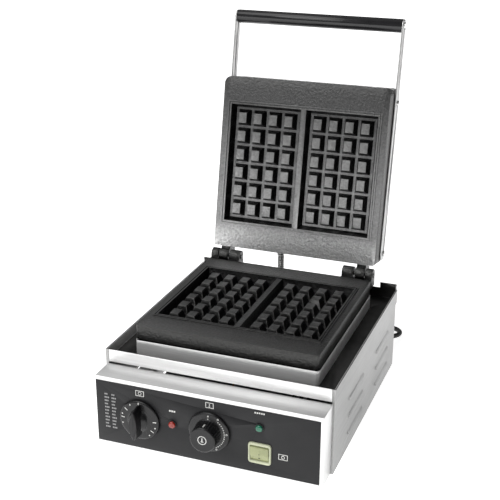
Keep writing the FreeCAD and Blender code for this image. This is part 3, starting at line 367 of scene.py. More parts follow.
M = {
    "steel_x": brushed("steel_ground_across", "x"),
    # A lighter, less metallic copy of the ground steel for the control box and skirt: painted light.
    "steel_front_painted_light": brushed("steel_ground_front_painted_light", "x", (0.86, 0.86, 0.855), (0.72, 0.72, 0.72), 0.55),
    # A darker copy of the ground steel for the side panels: painted shade.
    "steel_y_painted_shade": brushed("steel_ground_along_painted_shade", "y", (0.37, 0.37, 0.366), (0.27, 0.27, 0.27)),
    "steel_z": brushed("steel_ground_upright", "z"),
    "tray": tray_steel("steel_tray"),
    # Painted light in each casting's tones: the lower plate lighter to the left, the open lid lighter
    # towards its bottom.
    "lower_cast": coated_casting("coated_casting_lower", (0, 0, 1), "X", (0.22, 0.13, 0.085),
                                 ((-0.13, 0.0), (0.0, 0.13)), ("Y", -1.0, HINGE.y - 14 * MM)),
    "upper_cast": coated_casting("coated_casting_upper", LID_FACE, "Z", (0.80, 0.26, 0.06),
                                 ((HINGE.z + 10 * MM, HINGE.z + 50 * MM),
                                  (HINGE.z + 70 * MM, HINGE.z + 235 * MM)),
                                 ("Z", HINGE.z + 12.5 * MM, 1.0)),
    "hinge": hinge_steel("hinge_steel"),
    "plated": plated("plated_steel"),
    "gloss": moulded("gloss_black", (0.010, 0.010, 0.011), 0.14, 0.03),
    "knob": moulded("knob_black", (0.005, 0.005, 0.0055), 0.26, 0.22),
    "hub": moulded("knob_grip_black", (0.003, 0.003, 0.0035), 0.36, 0.3),
    "panel": panel_paint("panel_black"),
    "unit": moulded("unit_cream", (0.55, 0.53, 0.46), 0.45),
    "red": clear_lens("lens_red", (0.24, 0.016, 0.008)),
    "green": clear_lens("lens_green", (0.003, 0.11, 0.06)),
    # Rocker and bezel share one green plastic: the rocker is painted darker as shade, the bezel lighter as
    # painted light.
    "switch": moulded("switch_green_painted_shade", (0.30, 0.32, 0.17), 0.28, 0.05),
    "bezel": moulded("switch_bezel_painted_light", (0.46, 0.48, 0.34), 0.35, 0.05),
    "rubber": moulded("rubber_black", (0.018, 0.018, 0.018), 0.62, 0.4),
    "armour": plated("armour_steel", (0.74, 0.74, 0.73), 0.28),
    "element": oxidised("element_sheath"),
    "copper": plated("copper", (0.62, 0.34, 0.20), 0.3),
    "brass": plated("brass", (0.66, 0.55, 0.32), 0.25),
    "blanket": fibre_blanket("ceramic_blanket"),
    "ink": ink("panel_ink", (0.62, 0.62, 0.60)),
    "faint_ink": ink("panel_ink_faint", (0.30, 0.30, 0.30)),
    "floor": bare_floor("floor_white"),
}


# ---------------------------------------------------------------- mesh building blocks

def add(name, mesh, material, body, smooth=True):
    piece = bpy.data.objects.new(name, mesh)
    scene.collection.objects.link(piece)
    mesh.materials.append(material)
    if smooth:
        for face in mesh.polygons:
            face.use_smooth = True
    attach(piece, body)
    return piece


def soften(piece, width, segments=2, angle=28):
    """Rounded, evenly lit edges on a carried-over or hand-built piece."""
    weld = piece.modifiers.new("weld", "WELD")
    weld.merge_threshold = 0.000005
    bevel = piece.modifiers.new("bevel", "BEVEL")
    bevel.width = width
    bevel.segments = segments
    bevel.limit_method = "ANGLE"
    bevel.angle_limit = math.radians(angle)
    bevel.use_clamp_overlap = True
    bevel.harden_normals = True
    for face in piece.data.polygons:
        face.use_smooth = True


def facing_front(at):
    """Turns +Z of a piece built flat into -Y, so it faces the user, and puts it at a point."""
    return Matrix.Translation(at) @ Matrix.Rotation(math.radians(90), 4, "X")


def mesh_from(bm, name):
    mesh = bpy.data.meshes.new(name)
    bmesh.ops.recalc_face_normals(bm, faces=bm.faces)
    bm.to_mesh(mesh)
    bm.free()
    return mesh


def turned(profile, name, steps=96, wobble=None):
    """A surface of revolution about Z.  profile is (radius, height) from the axis outwards and back."""
    bm = bmesh.new()
    rings = []
    for radius, height in profile:
        if radius < 1e-7:
            rings.append([bm.verts.new((0, 0, height))])
            continue
        ring = []
        for step in range(steps):
            angle = 2 * math.pi * step / steps
            r = radius + (wobble(angle, height, radius) if wobble else 0)
            ring.append(bm.verts.new((r * math.cos(angle), r * math.sin(angle), height)))
        rings.append(ring)
    for low, high in zip(rings, rings[1:]):
        for step in range(steps):
            nxt = (step + 1) % steps
            if len(low) == 1:
                bm.faces.new((low[0], high[step], high[nxt]))
            elif len(high) == 1:
                bm.faces.new((low[step], low[nxt], high[0]))
            else:
                bm.faces.new((low[step], low[nxt], high[nxt], high[step]))
    return mesh_from(bm, name)


def arc(centre_r, centre_z, radius, start, end, steps=6):
    return [(centre_r + radius * math.cos(math.radians(start + (end - start) * i / steps)),
             centre_z + radius * math.sin(math.radians(start + (end - start) * i / steps)))
            for i in range(steps + 1)]


def rounded_outline(width, height, radius, steps=6):
    points = []
    for sx, sy, start in ((1, 1, 0), (-1, 1, 90), (-1, -1, 180), (1, -1, 270)):
        cx, cy = sx * (width / 2 - radius), sy * (height / 2 - radius)
        for i in range(steps + 1):
            angle = math.radians(start + 90 * i / steps)
            points.append((cx + radius * math.cos(angle), cy + radius * math.sin(angle)))
    return points


def lofted(outlines, name, cap_low=True, cap_high=True):
    """Joins outlines of equal length, each a list of points, into a skin."""
    bm = bmesh.new()
    rings = [[bm.verts.new(point) for point in outline] for outline in outlines]
    count = len(rings[0])
    for low, high in zip(rings, rings[1:]):
        for i in range(count):
            j = (i + 1) % count
            bm.faces.new((low[i], low[j], high[j], high[i]))
    if cap_low:
        bm.faces.new(list(reversed(rings[0])))
    if cap_high:
        bm.faces.new(rings[-1])
    return mesh_from(bm, name)


def flat_marks(shapes, name, lift=0.00012):
    """Printed marks: each shape is a closed outline in the panel's plane, given a hair of thickness."""
    bm = bmesh.new()
    for outline in shapes:
        low = [bm.verts.new((x, y, 0)) for x, y in outline]
        high = [bm.verts.new((x, y, lift)) for x, y in outline]
        bm.faces.new(high)
        bm.faces.new(list(reversed(low)))
        for i in range(len(outline)):
            j = (i + 1) % len(outline)
            bm.faces.new((low[i], low[j], high[j], high[i]))
    return mesh_from(bm, name)


def bar(x, y, width, height, angle=0.0):
    c, s = math.cos(angle), math.sin(angle)
    return [(x + px * c - py * s, y + px * s + py * c)
            for px, py in ((-width / 2, -height / 2), (width / 2, -height / 2), (width / 2, height / 2),
                           (-width / 2, height / 2))]


def dot(x, y, radius, steps=14):
    return [(x + radius * math.cos(2 * math.pi * i / steps), y + radius * math.sin(2 * math.pi * i / steps))
            for i in range(steps)]


def frame_outline(x, y, width, height, line):
    return [bar(x, y + height / 2, width + line, line), bar(x, y - height / 2, width + line, line),
            bar(x - width / 2, y, line, height - line), bar(x + width / 2, y, line, height - line)]


def ring_pieces(x, y, radius, line, steps=28):
    pieces = []
    for i in range(steps):
        a, b = 2 * math.pi * i / steps, 2 * math.pi * (i + 1) / steps
        inner, outer = radius - line / 2, radius + line / 2
        pieces.append([(x + inner * math.cos(a), y + inner * math.sin(a)),
                       (x + outer * math.cos(a), y + outer * math.sin(a)),
                       (x + outer * math.cos(b), y + outer * math.sin(b)),
                       (x + inner * math.cos(b), y + inner * math.sin(b))])
    return pieces


# ---------------------------------------------------------------- mains lead

COIL = centre("cord_coil")


def spline_curve(name, points, diameter):
    curve = bpy.data.curves.new(name, "CURVE")
    curve.dimensions = "3D"
    curve.bevel_depth = diameter / 2
    curve.bevel_resolution = 6
    curve.use_fill_caps = True
    curve.resolution_u = 10
    spline = curve.splines.new("NURBS")
    spline.points.add(len(points) - 1)
    for control, point in zip(spline.points, points):
        control.co = (*point, 1)
    spline.order_u = 3
    spline.use_endpoint_u = True
    return curve


def coil_turns():
    """Turns side by side, three across and two high, from the far side round to where the tail leaves."""
    low, high = corners("cord_coil")
    outer = (high.x - low.x) / 2 - CORD_DIAMETER / 2
    floor = CORD_DIAMETER / 2
    per_turn = 18
    start, end = math.radians(82), math.radians(112)
    lift = floor + 0.98 * CORD_DIAMETER
    lanes = [(outer, floor), (outer - CORD_DIAMETER, floor), (outer - 2 * CORD_DIAMETER, floor),
             (outer - 1.75 * CORD_DIAMETER, lift), (outer - 0.9 * CORD_DIAMETER, lift),
             (outer - 0.05 * CORD_DIAMETER, lift)]
    total = int(per_turn * (len(lanes) - 1 + (end - start) / (2 * math.pi))) + 1
    points = []
    for step in range(total + 1):
        turn = step / per_turn
        lane = min(int(turn), len(lanes) - 1)
        blend_in = max(0.0, (turn - lane - 0.7) / 0.3) if lane < len(lanes) - 1 else 0.0
        here, there = lanes[lane], lanes[min(lane + 1, len(lanes) - 1)]
        radius = here[0] + (there[0] - here[0]) * blend_in
        height = here[1] + (there[1] - here[1]) * blend_in
        angle = start + 2 * math.pi * turn
        points.append((COIL.x + radius * math.cos(angle), COIL.y + radius * math.sin(angle), height))
    return points


def mains_lead():
    gland = centre("cord_gland")
    floor = CORD_DIAMETER / 2
    out = [
        (gland.x, REAR - 6 * MM, gland.z),
        (gland.x, REAR + 22 * MM, gland.z),
        (gland.x, REAR + 39.5 * MM, gland.z),
        (80.5 * MM, REAR + 60 * MM, 21.5 * MM),
        (115.9 * MM, REAR + 60 * MM, 17.4 * MM),
        (136.4 * MM, REAR + 80.5 * MM, 13.5 * MM),
        (136.4 * MM, REAR + 109.5 * MM, 8 * MM),
        (115.9 * MM, REAR + 130 * MM, floor),
        (70 * MM, REAR + 128 * MM, floor),
        (24 * MM, REAR + 122 * MM, floor),
    ]
    tail = [
        (-44 * MM, REAR + 115 * MM, floor + 2 * MM),
        (-66 * MM, REAR + 111 * MM, 7 * MM),
        (-88 * MM, REAR + 109 * MM, 14 * MM),
        (-108 * MM, REAR + 109 * MM, 18.5 * MM),
    ]
    curve = spline_curve("mains_lead", out + coil_turns() + tail, CORD_DIAMETER)
    lead = bpy.data.objects.new("mains_lead", curve)
    scene.collection.objects.link(lead)
    curve.materials.append(M["rubber"])
    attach(lead, "base")
    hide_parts("power_cord", "cord_coil", "plug_lead")
    return lead


def strain_relief():
    low, high = corners("strain_relief")
    length = high.y - low.y
    ribs = 7
    profile = [(CORD_DIAMETER / 2, 0)]
    for rib in range(ribs):
        base = length * rib / ribs
        step = length / ribs
        radius = (high.x - low.x) / 2 * (1 - 0.36 * rib / ribs)
        profile += [(radius, base), (radius, base + 0.62 * step), (radius * 0.82, base + 0.68 * step),
                    (radius * 0.82, base + 0.97 * step)]
    profile += [(CORD_DIAMETER / 2 + 0.6 * MM, length), (CORD_DIAMETER / 2, length)]
    mesh = turned(profile, "strain_relief_ribbed", 48)
    at = centre("strain_relief")
    mesh.transform(Matrix.Translation((at.x, low.y, at.z)) @ Matrix.Rotation(math.radians(-90), 4, "X"))
    piece = add("strain_relief_ribbed", mesh, M["rubber"], "base")
    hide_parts("strain_relief")
    return piece


def plug():
    low, high = corners("power_plug")
    length, radius = high.x - low.x, (high.z - low.z) / 2
    profile = [(CORD_DIAMETER / 2, 0), (5.2 * MM, 0), (5.6 * MM, 3 * MM), (4.9 * MM, 3.6 * MM),
               (5.9 * MM, 6.4 * MM), (5.2 * MM, 7 * MM), (7.2 * MM, 10 * MM), (10 * MM, 13 * MM),
               (13.5 * MM, 18 * MM), (15 * MM, 24 * MM), (15.2 * MM, 27 * MM), (17.6 * MM, 28.5 * MM),
               (radius - 0.2 * MM, 30 * MM), (radius, 31.5 * MM), (radius, 38.5 * MM),
               (radius - 1 * MM, 39.8 * MM), (radius - 1.8 * MM, length), (0, length)]

    def grooves(angle, height, _):
        return -0.45 * MM * max(0.0, math.cos(12 * angle)) if 12 * MM < height < 27.5 * MM else 0.0

    mesh = turned(profile, "plug_moulding", 96, grooves)
    at = centre("power_plug")
    mesh.transform(Matrix.Translation((high.x, at.y, at.z)) @ Matrix.Rotation(math.radians(-90), 4, "Y"))
    piece = add("plug_moulding", mesh, M["rubber"], "base")
    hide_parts("power_plug")
    return piece


lead = mains_lead()
relief = strain_relief()
plug_piece = plug()


# ---------------------------------------------------------------- carried-over pieces

FINISHES = {
    "steel_x": ("rear_panel", "lid_cover", "heat_shield", "bottom_plate"),
    "steel_front_painted_light": ("control_box", "plate_skirt"),
    "steel_y_painted_shade": ("side_panel_left", "side_panel_right"),
    "steel_z": ("handle_arm_left", "handle_arm_right"),
    "tray": ("drip_tray",),
    "lower_cast": ("lower_grill_plate",),
    "upper_cast": ("upper_grill_plate",),
    "hinge": ("hinge_pin_left", "hinge_pin_right"),
    "plated": ("arm_screws", "foot_screws", "rear_screws", "grip_rod",
               "grip_end_nuts", "lower_plate_studs", "cover_studs", "timer_shaft", "thermostat_shaft",
               "conduit_base_nut", "conduit_lid_ferrule"),
    "gloss": ("handle_grip",),
    "panel": ("fascia_plate",),
    "unit": ("timer_unit", "thermostat_unit", "terminal_block"),
    "hub": ("heat_lamp_holder", "power_lamp_holder"),
    "rubber": ("foot_front_left", "foot_front_right", "foot_rear_left", "foot_rear_right", "cord_gland",
               "wiring_loom"),
    "element": ("lower_heating_element", "upper_heating_element"),
    "copper": ("thermostat_bulb", "thermostat_capillary"),
    "brass": ("plug_pins",),
    "blanket": ("lid_insulation",),
}
# Bevel widths in millimetres.
SOFT_EDGES = {
    "control_box": 0.45, "side_panel_left": 0.35, "side_panel_right": 0.35, "drip_tray": 0.35,
    "rear_panel": 0.3, "plate_skirt": 0.3, "lid_cover": 1.6, "lower_grill_plate": 0.8,
    "upper_grill_plate": 0.8, "handle_arm_left": 0.5, "handle_arm_right": 0.5, "handle_grip": 1.0,
    "fascia_plate": 0.25, "foot_front_left": 0.8, "foot_front_right": 0.8, "foot_rear_left": 0.8,
    "foot_rear_right": 0.8, "hinge_pin_left": 0.5, "hinge_pin_right": 0.5, "cord_gland": 0.6,
    "conduit_base_nut": 0.4, "conduit_lid_ferrule": 0.5, "cover_studs": 0.3, "plug_pins": 0.8,
    "terminal_block": 0.5, "timer_unit": 0.6, "thermostat_unit": 0.6,
}


def dress_cad_nodes():
    for finish, names in FINISHES.items():
        for name in names:
            piece = nodes[name]
            for index in range(len(piece.material_slots)):
                piece.material_slots[index].material = M[finish]
    for name, width in SOFT_EDGES.items():
        soften(nodes[name], width * MM)


dress_cad_nodes()


# ---------------------------------------------------------------- knobs

def height_at(profile, radius):
    """How high a turned profile's outside stands at a radius."""
    for (outer, low), (inner, high) in zip(profile, profile[1:]):
        if inner <= radius <= outer and outer > inner:
            return low + (high - low) * (outer - radius) / (outer - inner)
    return profile[-1][1]


def knob_marks(name, shapes, at, body, profile):
    """Printed marks that lie on a turned knob's face."""
    mesh = flat_marks(shapes, name)
    for vertex in mesh.vertices:
        vertex.co.z += height_at(profile, vertex.co.xy.length)
    mesh.transform(facing_front(at))
    return add(name, mesh, M["ink"], body, smooth=False)


def timer_knob():
    low, high = corners("timer_knob")
    radius, depth = (high.x - low.x) / 2, high.y - low.y
    skirt = 4.2 * MM
    at = Vector(((low.x + high.x) / 2, high.y, (low.z + high.z) / 2))
    profile = [(0, 0), (radius - 1 * MM, 0), (radius, 0.9 * MM), (radius, 2.2 * MM),
               (radius - 0.6 * MM, 3.0 * MM), (radius - 3 * MM, 3.5 * MM), (radius * 0.62, skirt),
               (radius * 0.52, skirt + 0.4 * MM), (radius * 0.47, skirt + 2.5 * MM),
               (radius * 0.42, skirt + 5.5 * MM), (0, skirt + 6.5 * MM)]
    base = turned(profile, "timer_knob_skirt")
    base.transform(facing_front(at))
    skirt_piece = add("timer_knob_skirt", base, M["knob"], "timer")

    outlines = []
    for share, height in ((1.0, 3.4), (1.0, 5.0), (0.97, 9.0), (0.93, 14.0), (0.90, 18.0),
                          (0.86, 19.6), (0.72, 20.6)):
        long, thick = 21.5 * MM * share, 6.4 * MM * (0.6 + 0.4 * share) * (0.84 if height > 15 else 1.0)
        outline = []
        for i in range(48):
            angle = 2 * math.pi * i / 48
            across = thick * math.copysign(abs(math.cos(angle)) ** 0.85, math.cos(angle))
            along = long * math.copysign(abs(math.sin(angle)) ** 0.8, math.sin(angle))
            outline.append((across * (1 - 0.45 * (along / long) ** 2), along, min(height * MM, depth)))
        outlines.append(outline)
    grip = lofted(outlines, "timer_knob_grip")
    grip.transform(facing_front(at))
    grip_piece = add("timer_knob_grip", grip, M["hub"], "timer")
    soften(grip_piece, 0.5 * MM, 2, 40)
    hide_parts("timer_knob")
    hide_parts("timer_knob")

    marks = [bar(0, 21.6 * MM, 1.3 * MM, 5.2 * MM)]
    for degrees, kind in ((120, "dot"), (142, "line"), (165, "dot"), (176, "line"), (197, "dot"),
                          (4, "line"), (-17, "dot"), (-34, "line"), (-52, "dot")):
        angle = math.radians(degrees)
        out = (22.4 if kind == "dot" else 21) * MM
        x, y = out * math.cos(angle), out * math.sin(angle)
        marks.append(dot(x, y, 0.95 * MM) if kind == "dot" else bar(x, y, 4.6 * MM, 1.1 * MM, angle))
    knob_marks("timer_knob_marks", marks, at, "timer", profile)


def thermostat_knob():
    low, high = corners("thermostat_knob")
    radius, depth = (high.x - low.x) / 2, high.y - low.y
    at = Vector(((low.x + high.x) / 2, high.y, (low.z + high.z) / 2))
    hub = 16.9 * MM

    def flutes(angle, height, r):
        if height < 5.6 * MM or height > depth - 2.6 * MM or r < hub * 0.9:
            return 0.0
        return -0.5 * MM * (0.5 + 0.5 * math.cos(30 * angle)) ** 2

    profile = [(0, 0), (radius - 1 * MM, 0), (radius, 0.9 * MM), (radius, 2.4 * MM),
               (radius - 0.6 * MM, 3.2 * MM), (radius - 2.4 * MM, 3.8 * MM), (hub + 1.6 * MM, 4.4 * MM),
               (hub + 0.3 * MM, 4.9 * MM), (hub, 5.8 * MM), (hub - 0.2 * MM, 10 * MM),
               (hub - 0.5 * MM, 15 * MM), (hub - 0.8 * MM, depth - 2.8 * MM)]
    profile += arc(hub - 2.8 * MM, depth - 2.2 * MM, 2.0 * MM, 15, 90, 6)
    profile += [(hub - 4.5 * MM, depth - 0.35 * MM), (8.5 * MM, depth - 0.5 * MM), (0, depth - 0.55 * MM)]
    mesh = turned(profile, "thermostat_knob_moulding", 240, flutes)
    mesh.transform(facing_front(at))
    piece = add("thermostat_knob_moulding", mesh, M["knob"], "thermostat")
    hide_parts("thermostat_knob")

    scale_marks = [dot(0, 21.8 * MM, 1.0 * MM), bar(0, 18.4 * MM, 1.5 * MM, 0.9 * MM)]
    for step in range(15):
        angle = math.radians(52 - 8 * step)
        scale_marks.append(dot(20.6 * MM * math.cos(angle), 20.6 * MM * math.sin(angle), 0.75 * MM))
    for degrees in (58, 4, -64):
        angle = math.radians(degrees)
        scale_marks += ring_pieces(23.2 * MM * math.cos(angle), 23.2 * MM * math.sin(angle),
                                   0.9 * MM, 0.5 * MM, 12)
    knob_marks("thermostat_knob_scale", scale_marks, at, "thermostat", profile)

    emblem = ring_pieces(0, 0, 5.2 * MM, 0.9 * MM, 36)
    emblem += [bar(0, 0.9 * MM, 1.2 * MM, 4.6 * MM), bar(0, -2.0 * MM, 3.4 * MM, 1.0 * MM)]
    knob_marks("thermostat_knob_emblem", emblem, at, "thermostat", profile)
    pointer = flat_marks([bar(0, 0, 1.6 * MM, 6.5 * MM)], "thermostat_knob_pointer", 0.3 * MM)
    pointer.transform(Matrix.Translation(at + Vector((0, -(depth - 6.6 * MM), hub - 0.75 * MM))))
    add("thermostat_knob_pointer", pointer, M["ink"], "thermostat", smooth=False)


timer_knob()
thermostat_knob()


# ---------------------------------------------------------------- lamps and switch

def lamp(prefix, material):
    low, high = corners(f"{prefix}_lamp_lens")
    radius = (high.x - low.x) / 2
    proud = 4.2 * MM
    at = Vector(((low.x + high.x) / 2, low.y + proud, (low.z + high.z) / 2))

    def facets(angle, height, _):
        return -0.12 * MM * abs(math.sin(8 * angle)) if height < 2.6 * MM else 0.0

    dome = [(0, 0), (radius, 0), (radius, 2.0 * MM), (radius * 0.97, 2.7 * MM), (radius * 0.86, 3.3 * MM),
            (radius * 0.66, 3.75 * MM), (radius * 0.4, 4.05 * MM), (radius * 0.18, 4.17 * MM), (0, proud)]
    mesh = turned(dome, f"{prefix}_lens_dome", 64, facets)
    mesh.transform(facing_front(at))
    lens = add(f"{prefix}_lens_dome", mesh, M[material], "base")
    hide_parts(f"{prefix}_lamp_lens")
    soften(nodes[f"{prefix}_lamp_holder"], 0.3 * MM)


lamp("heat", "red")
lamp("power", "green")


def switch():
    low, high = corners("switch_housing")
    at = Vector(((low.x + high.x) / 2, PANEL_FRONT, (low.z + high.z) / 2))
    width, height, proud = high.x - low.x, high.z - low.z, PANEL_FRONT - low.y
    rocker_low, rocker_high = corners("switch_rocker")
    opening = (rocker_high.x - rocker_low.x + 1.0 * MM, rocker_high.z - rocker_low.z + 1.4 * MM)
    loops = []
    for out, lift, radius in ((0, 0, 3.8), (0, 0.55, 3.8), (0.35, 0.85, 3.6), (0.9, 1.0, 3.2)):
        loops.append([(x, y, proud * lift) for x, y in
                      rounded_outline(width - 2 * out * MM, height - 2 * out * MM, radius * MM)])
    for inset, lift in ((0.4, 1.0), (0, 0.9), (0, -1.6)):
        loops.append([(x, y, proud * lift) for x, y in
                      rounded_outline(opening[0] + 2 * inset * MM, opening[1] + 2 * inset * MM, 1.2 * MM)])
    mesh = lofted(loops, "switch_bezel", cap_low=False, cap_high=False)
    mesh.transform(facing_front(at))
    bezel = add("switch_bezel", mesh, M["bezel"], "base")
    body_loops = [[(x, y, z) for x, y in rounded_outline(width - 4.2 * MM, height - 4.2 * MM, 1.0 * MM)]
                  for z in (-(high.y - PANEL_FRONT), -3.6 * MM)]
    body = lofted(body_loops, "switch_body")
    body.transform(facing_front(at))
    body_piece = add("switch_body", body, M["hub"], "base")
    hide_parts("switch_housing")
    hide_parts("switch_housing")

    pivot = Vector(next(j for j in frame["joints"] if j["name"] == "rocker_rock")["pos_m"])
    half_w, half_h = (rocker_high.x - rocker_low.x) / 2, (rocker_high.z - rocker_low.z) / 2
    tilt = math.radians(10)
    outlines = []
    steps = 18
    for i in range(steps + 1):
        along = -half_h + 2 * half_h * i / steps
        crown = -6.4 * MM + 1.55 * MM * (along / half_h) ** 2
        outlines.append([(-half_w, 1.2 * MM, along), (-half_w, crown + 0.5 * MM, along),
                         (-half_w + 0.5 * MM, crown, along), (half_w - 0.5 * MM, crown, along),
                         (half_w, crown + 0.5 * MM, along), (half_w, 1.2 * MM, along)])
    mesh = lofted(outlines, "rocker_cap")
    mesh.transform(Matrix.Translation(pivot) @ Matrix.Rotation(tilt, 4, "X"))
    cap = add("rocker_cap", mesh, M["switch"], "rocker")
    soften(cap, 0.35 * MM, 2, 40)
    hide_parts("switch_rocker")

    signs = [bar(0, -4.9 * MM, 2.2 * MM, 0.8 * MM), bar(0, 1.0 * MM, 0.7 * MM, 1.3 * MM)]
    marks = flat_marks(signs, "rocker_signs")
    marks.transform(Matrix.Translation(pivot) @ Matrix.Rotation(tilt, 4, "X")
                    @ Matrix.Translation((0, -6.35 * MM, 0)) @ Matrix.Rotation(math.radians(90), 4, "X"))
    add("rocker_signs", marks, M["hub"], "rocker", smooth=False)


switch()


# ---------------------------------------------------------------- panel print

def panel_print():
    """Generic scale marks and icons, placed from the knobs, lamps and switch they belong to."""
    timer, thermostat = centre("timer_knob"), centre("thermostat_knob")
    heat, power, rocker = centre("heat_lamp_lens"), centre("power_lamp_lens"), centre("switch_housing")
    left = corners("fascia_plate")[0].x
    bright, faint = [], []

    for column in range(2):
        for row in range(11):
            x = left + (11.0 + 9.4 * column) * MM
            z = timer.z + (25.4 - 4.5 * row) * MM
            width = (4.6 + 0.9 * ((row * 5 + column * 3) % 3)) * MM
            cuts = 3 if row else 2
            for piece in range(cuts):
                faint.append(bar(x + width * (piece + 0.5) / cuts, z, width / cuts * 0.72, 2.0 * MM))

    bright += frame_outline(timer.x + 0.2 * MM, timer.z + 34.6 * MM, 10.4 * MM, 6.6 * MM, 0.75 * MM)
    bright += ring_pieces(timer.x + 0.2 * MM, timer.z + 34.6 * MM, 2.0 * MM, 0.6 * MM, 16)
    bright += frame_outline(thermostat.x, thermostat.z + 33.8 * MM, 9.6 * MM, 6.6 * MM, 0.75 * MM)
    bright += [bar(thermostat.x, thermostat.z + 33.6 * MM, 1.0 * MM, 4.0 * MM),
               dot(thermostat.x, thermostat.z + 32.0 * MM, 1.1 * MM)]
    bright += frame_outline(rocker.x + 28.6 * MM, rocker.z + 0.6 * MM, 10.6 * MM, 6.8 * MM, 0.75 * MM)
    bright += ring_pieces(rocker.x + 28.6 * MM, rocker.z + 0.4 * MM, 1.9 * MM, 0.7 * MM, 16)
    bright += [bar(rocker.x + 28.6 * MM, rocker.z + 2.2 * MM, 0.7 * MM, 2.0 * MM)]
    for i in range(3):
        bright.append(bar(heat.x + (2.9 * i - 2.9) * MM, heat.z + 17.6 * MM, 2.1 * MM, 2.2 * MM))
    for i in range(5):
        bright.append(bar(power.x + (2.7 * i - 5.4) * MM, power.z + 19.0 * MM, 1.7 * MM, 2.0 * MM))
    for name, shapes, material in (("panel_icons", bright, "ink"), ("panel_table", faint, "faint_ink")):
        mesh = flat_marks(shapes, name)
        mesh.transform(facing_front(Vector((0, PANEL_FRONT, 0))))
        add(name, mesh, M[material], "base", smooth=False)


panel_print()


# ---------------------------------------------------------------- screws

def cross_head(name, at, outward, radius, height, body):
    """A pan head with a cross recess, on the CAD screw's own head."""
    bm = bmesh.new()
    steps = 32
    rings = []
    profile = [(radius + 0.1 * MM, 0.0), (radius + 0.1 * MM, 0.35 * height), (radius * 0.93, 0.7 * height),
               (radius * 0.78, 0.92 * height), (radius * 0.6, 1.0 * height)]
    for r, z in profile:
        rings.append([bm.verts.new((r * math.cos(2 * math.pi * i / steps),
                                    r * math.sin(2 * math.pi * i / steps), z)) for i in range(steps)])
    for low, high in zip(rings, rings[1:]):
        for i in range(steps):
            j = (i + 1) % steps
            bm.faces.new((low[i], low[j], high[j], high[i]))
    arm, half = radius * 0.46, radius * 0.12
    cross = [(half, arm), (-half, arm), (-half, half), (-arm, half), (-arm, -half), (-half, -half),
             (-half, -arm), (half, -arm), (half, -half), (arm, -half), (arm, half), (half, half)]
    top = [bm.verts.new((x, y, height)) for x, y in cross]
    deep = [bm.verts.new((x * 0.7, y * 0.7, height * 0.35)) for x, y in cross]
    for i in range(12):
        j = (i + 1) % 12
        bm.faces.new((top[j], top[i], deep[i], deep[j]))
    bm.faces.new(deep)
    rim = [bm.edges.get((rings[-1][i], rings[-1][(i + 1) % steps])) for i in range(steps)]
    slot_edges = [bm.edges.get((top[i], top[(i + 1) % 12])) for i in range(12)]
    bmesh.ops.triangle_fill(bm, edges=rim + slot_edges, use_beauty=True)
    mesh = mesh_from(bm, name)
    mesh.transform(Matrix.Translation(at) @ Vector(outward).to_track_quat("Z", "Y").to_matrix().to_4x4())
    piece = add(name, mesh, M["plated"], body)
    soften(piece, 0.12 * MM, 1, 35)
    return piece


def lid_point(forward, rise, x):
    """A point of the closed lid, moved to where it is at rest with the lid open."""
    angle = math.radians(OPEN_ANGLE)
    return Vector((x, HINGE.y - forward * math.cos(angle) + rise * math.sin(angle),
                   HINGE.z + forward * math.sin(angle) + rise * math.cos(angle)))


def screws():
    """Cross-head tops on the arm screws, by their place on the closed lid, and on the rear screws."""
    arm_outside = corners("handle_arm_right")[1].x
    arm_screws_forward, arm_screws_rise = (24.8 * MM, 234.8 * MM), 40 * MM
    head_height = 1.2 * MM
    for side in (-1, 1):
        for index, forward in enumerate(arm_screws_forward):
            cross_head(f"arm_screw_head_{'left' if side < 0 else 'right'}_{index}",
                       lid_point(forward, arm_screws_rise, arm_outside * side + side * 1.0 * MM),
                       (side, 0, 0), 3.8 * MM, head_height, "lid")
    low, high = corners("rear_screws")
    radius = 3.6 * MM
    places = [(x, z) for x in (low.x + radius, high.x - radius) for z in (low.z + radius, high.z - radius)]
    for index, (x, z) in enumerate(places):
        cross_head(f"rear_screw_head_{index}", Vector((x, high.y - 1.0 * MM, z)), (0, 1, 0),
                   radius, head_height, "base")


screws()


# ---------------------------------------------------------------- conduit

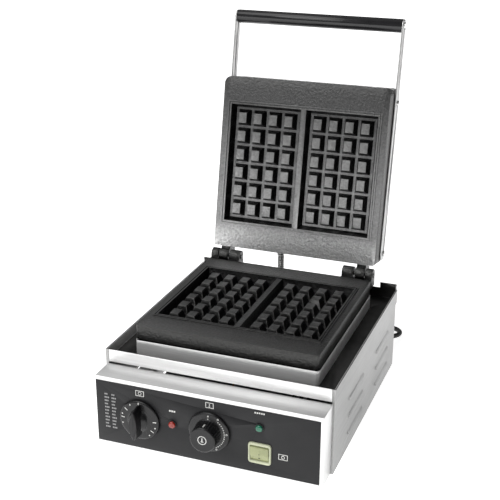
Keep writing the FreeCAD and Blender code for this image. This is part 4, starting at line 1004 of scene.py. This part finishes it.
def conduit():
    """Wound steel hose: a helical rib on a straight tube, standing between the tray and the lid."""
    low, high = corners("lid_conduit")
    radius = (high.x - low.x) / 2
    at = centre("lid_conduit")
    pitch = 3.0 * MM
    length = high.z - low.z
    around, along = 40, int(length / pitch * 10)
    bm = bmesh.new()
    rings = []
    for i in range(along + 1):
        z = low.z + length * i / along
        ring = []
        for j in range(around):
            angle = 2 * math.pi * j / around
            phase = (z - low.z) / pitch - angle / (2 * math.pi)
            r = radius - 1.3 * MM * (0.5 + 0.5 * math.cos(2 * math.pi * phase)) ** 3
            ring.append(bm.verts.new((at.x + r * math.cos(angle), at.y + r * math.sin(angle), z)))
        rings.append(ring)
    for lower, upper in zip(rings, rings[1:]):
        for j in range(around):
            k = (j + 1) % around
            bm.faces.new((lower[j], lower[k], upper[k], upper[j]))
    bm.faces.new(list(reversed(rings[0])))
    bm.faces.new(rings[-1])
    mesh = mesh_from(bm, "conduit_armour")
    piece = bpy.data.objects.new("conduit_armour", mesh)
    scene.collection.objects.link(piece)
    mesh.materials.append(M["armour"])
    for face in mesh.polygons:
        face.use_smooth = True
    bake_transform(piece)
    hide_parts("lid_conduit")


conduit()


# ---------------------------------------------------------------- floor and light

def floor_and_light():
    """A wide light table just under the feet, a sky brighter at the front left, and three soft suns."""
    bm = bmesh.new()
    reach, gap = 6.0, 0.2 * MM
    bm.faces.new([bm.verts.new((x * reach, y * reach, -gap))
                  for x, y in ((-1, -1), (1, -1), (1, 1), (-1, 1))])
    mesh = mesh_from(bm, "floor")
    floor = bpy.data.objects.new("floor", mesh)
    scene.collection.objects.link(floor)
    mesh.materials.append(M["floor"])

    world = bpy.data.worlds.new("studio")
    scene.world = world
    world.use_nodes = True
    tree = world.node_tree
    direction = tree.nodes.new("ShaderNodeTexCoord").outputs["Generated"]
    lit_side = tree.nodes.new("ShaderNodeVectorMath")
    lit_side.operation = "DOT_PRODUCT"
    lit_side.inputs[1].default_value = (-0.62, -0.72, 0.3)
    shade = tree.nodes.new("ShaderNodeMapRange")
    for socket, value in (("From Min", -0.9), ("From Max", 0.95), ("To Min", 0.05), ("To Max", 0.36)):
        shade.inputs[socket].default_value = value
    tree.links.new(direction, lit_side.inputs[0])
    tree.links.new(lit_side.outputs["Value"], shade.inputs["Value"])
    tree.links.new(shade.outputs["Result"], tree.nodes["Background"].inputs["Color"])

    for name, toward, width, strength in (
        ("key", (-0.6, -0.6, 1.1), 45, 1.2),
        ("front", (-0.30, -0.80, 0.58), 28, 0.55),
        ("top", (-0.3, 0.1, 1.0), 70, 0.30),
    ):
        data = bpy.data.lights.new(name, "SUN")
        data.angle = math.radians(width)
        data.energy = strength
        light = bpy.data.objects.new(name, data)
        scene.collection.objects.link(light)
        light.rotation_euler = Vector(toward).to_track_quat("Z", "Y").to_euler()


scene.view_settings.view_transform = "Standard"
floor_and_light()
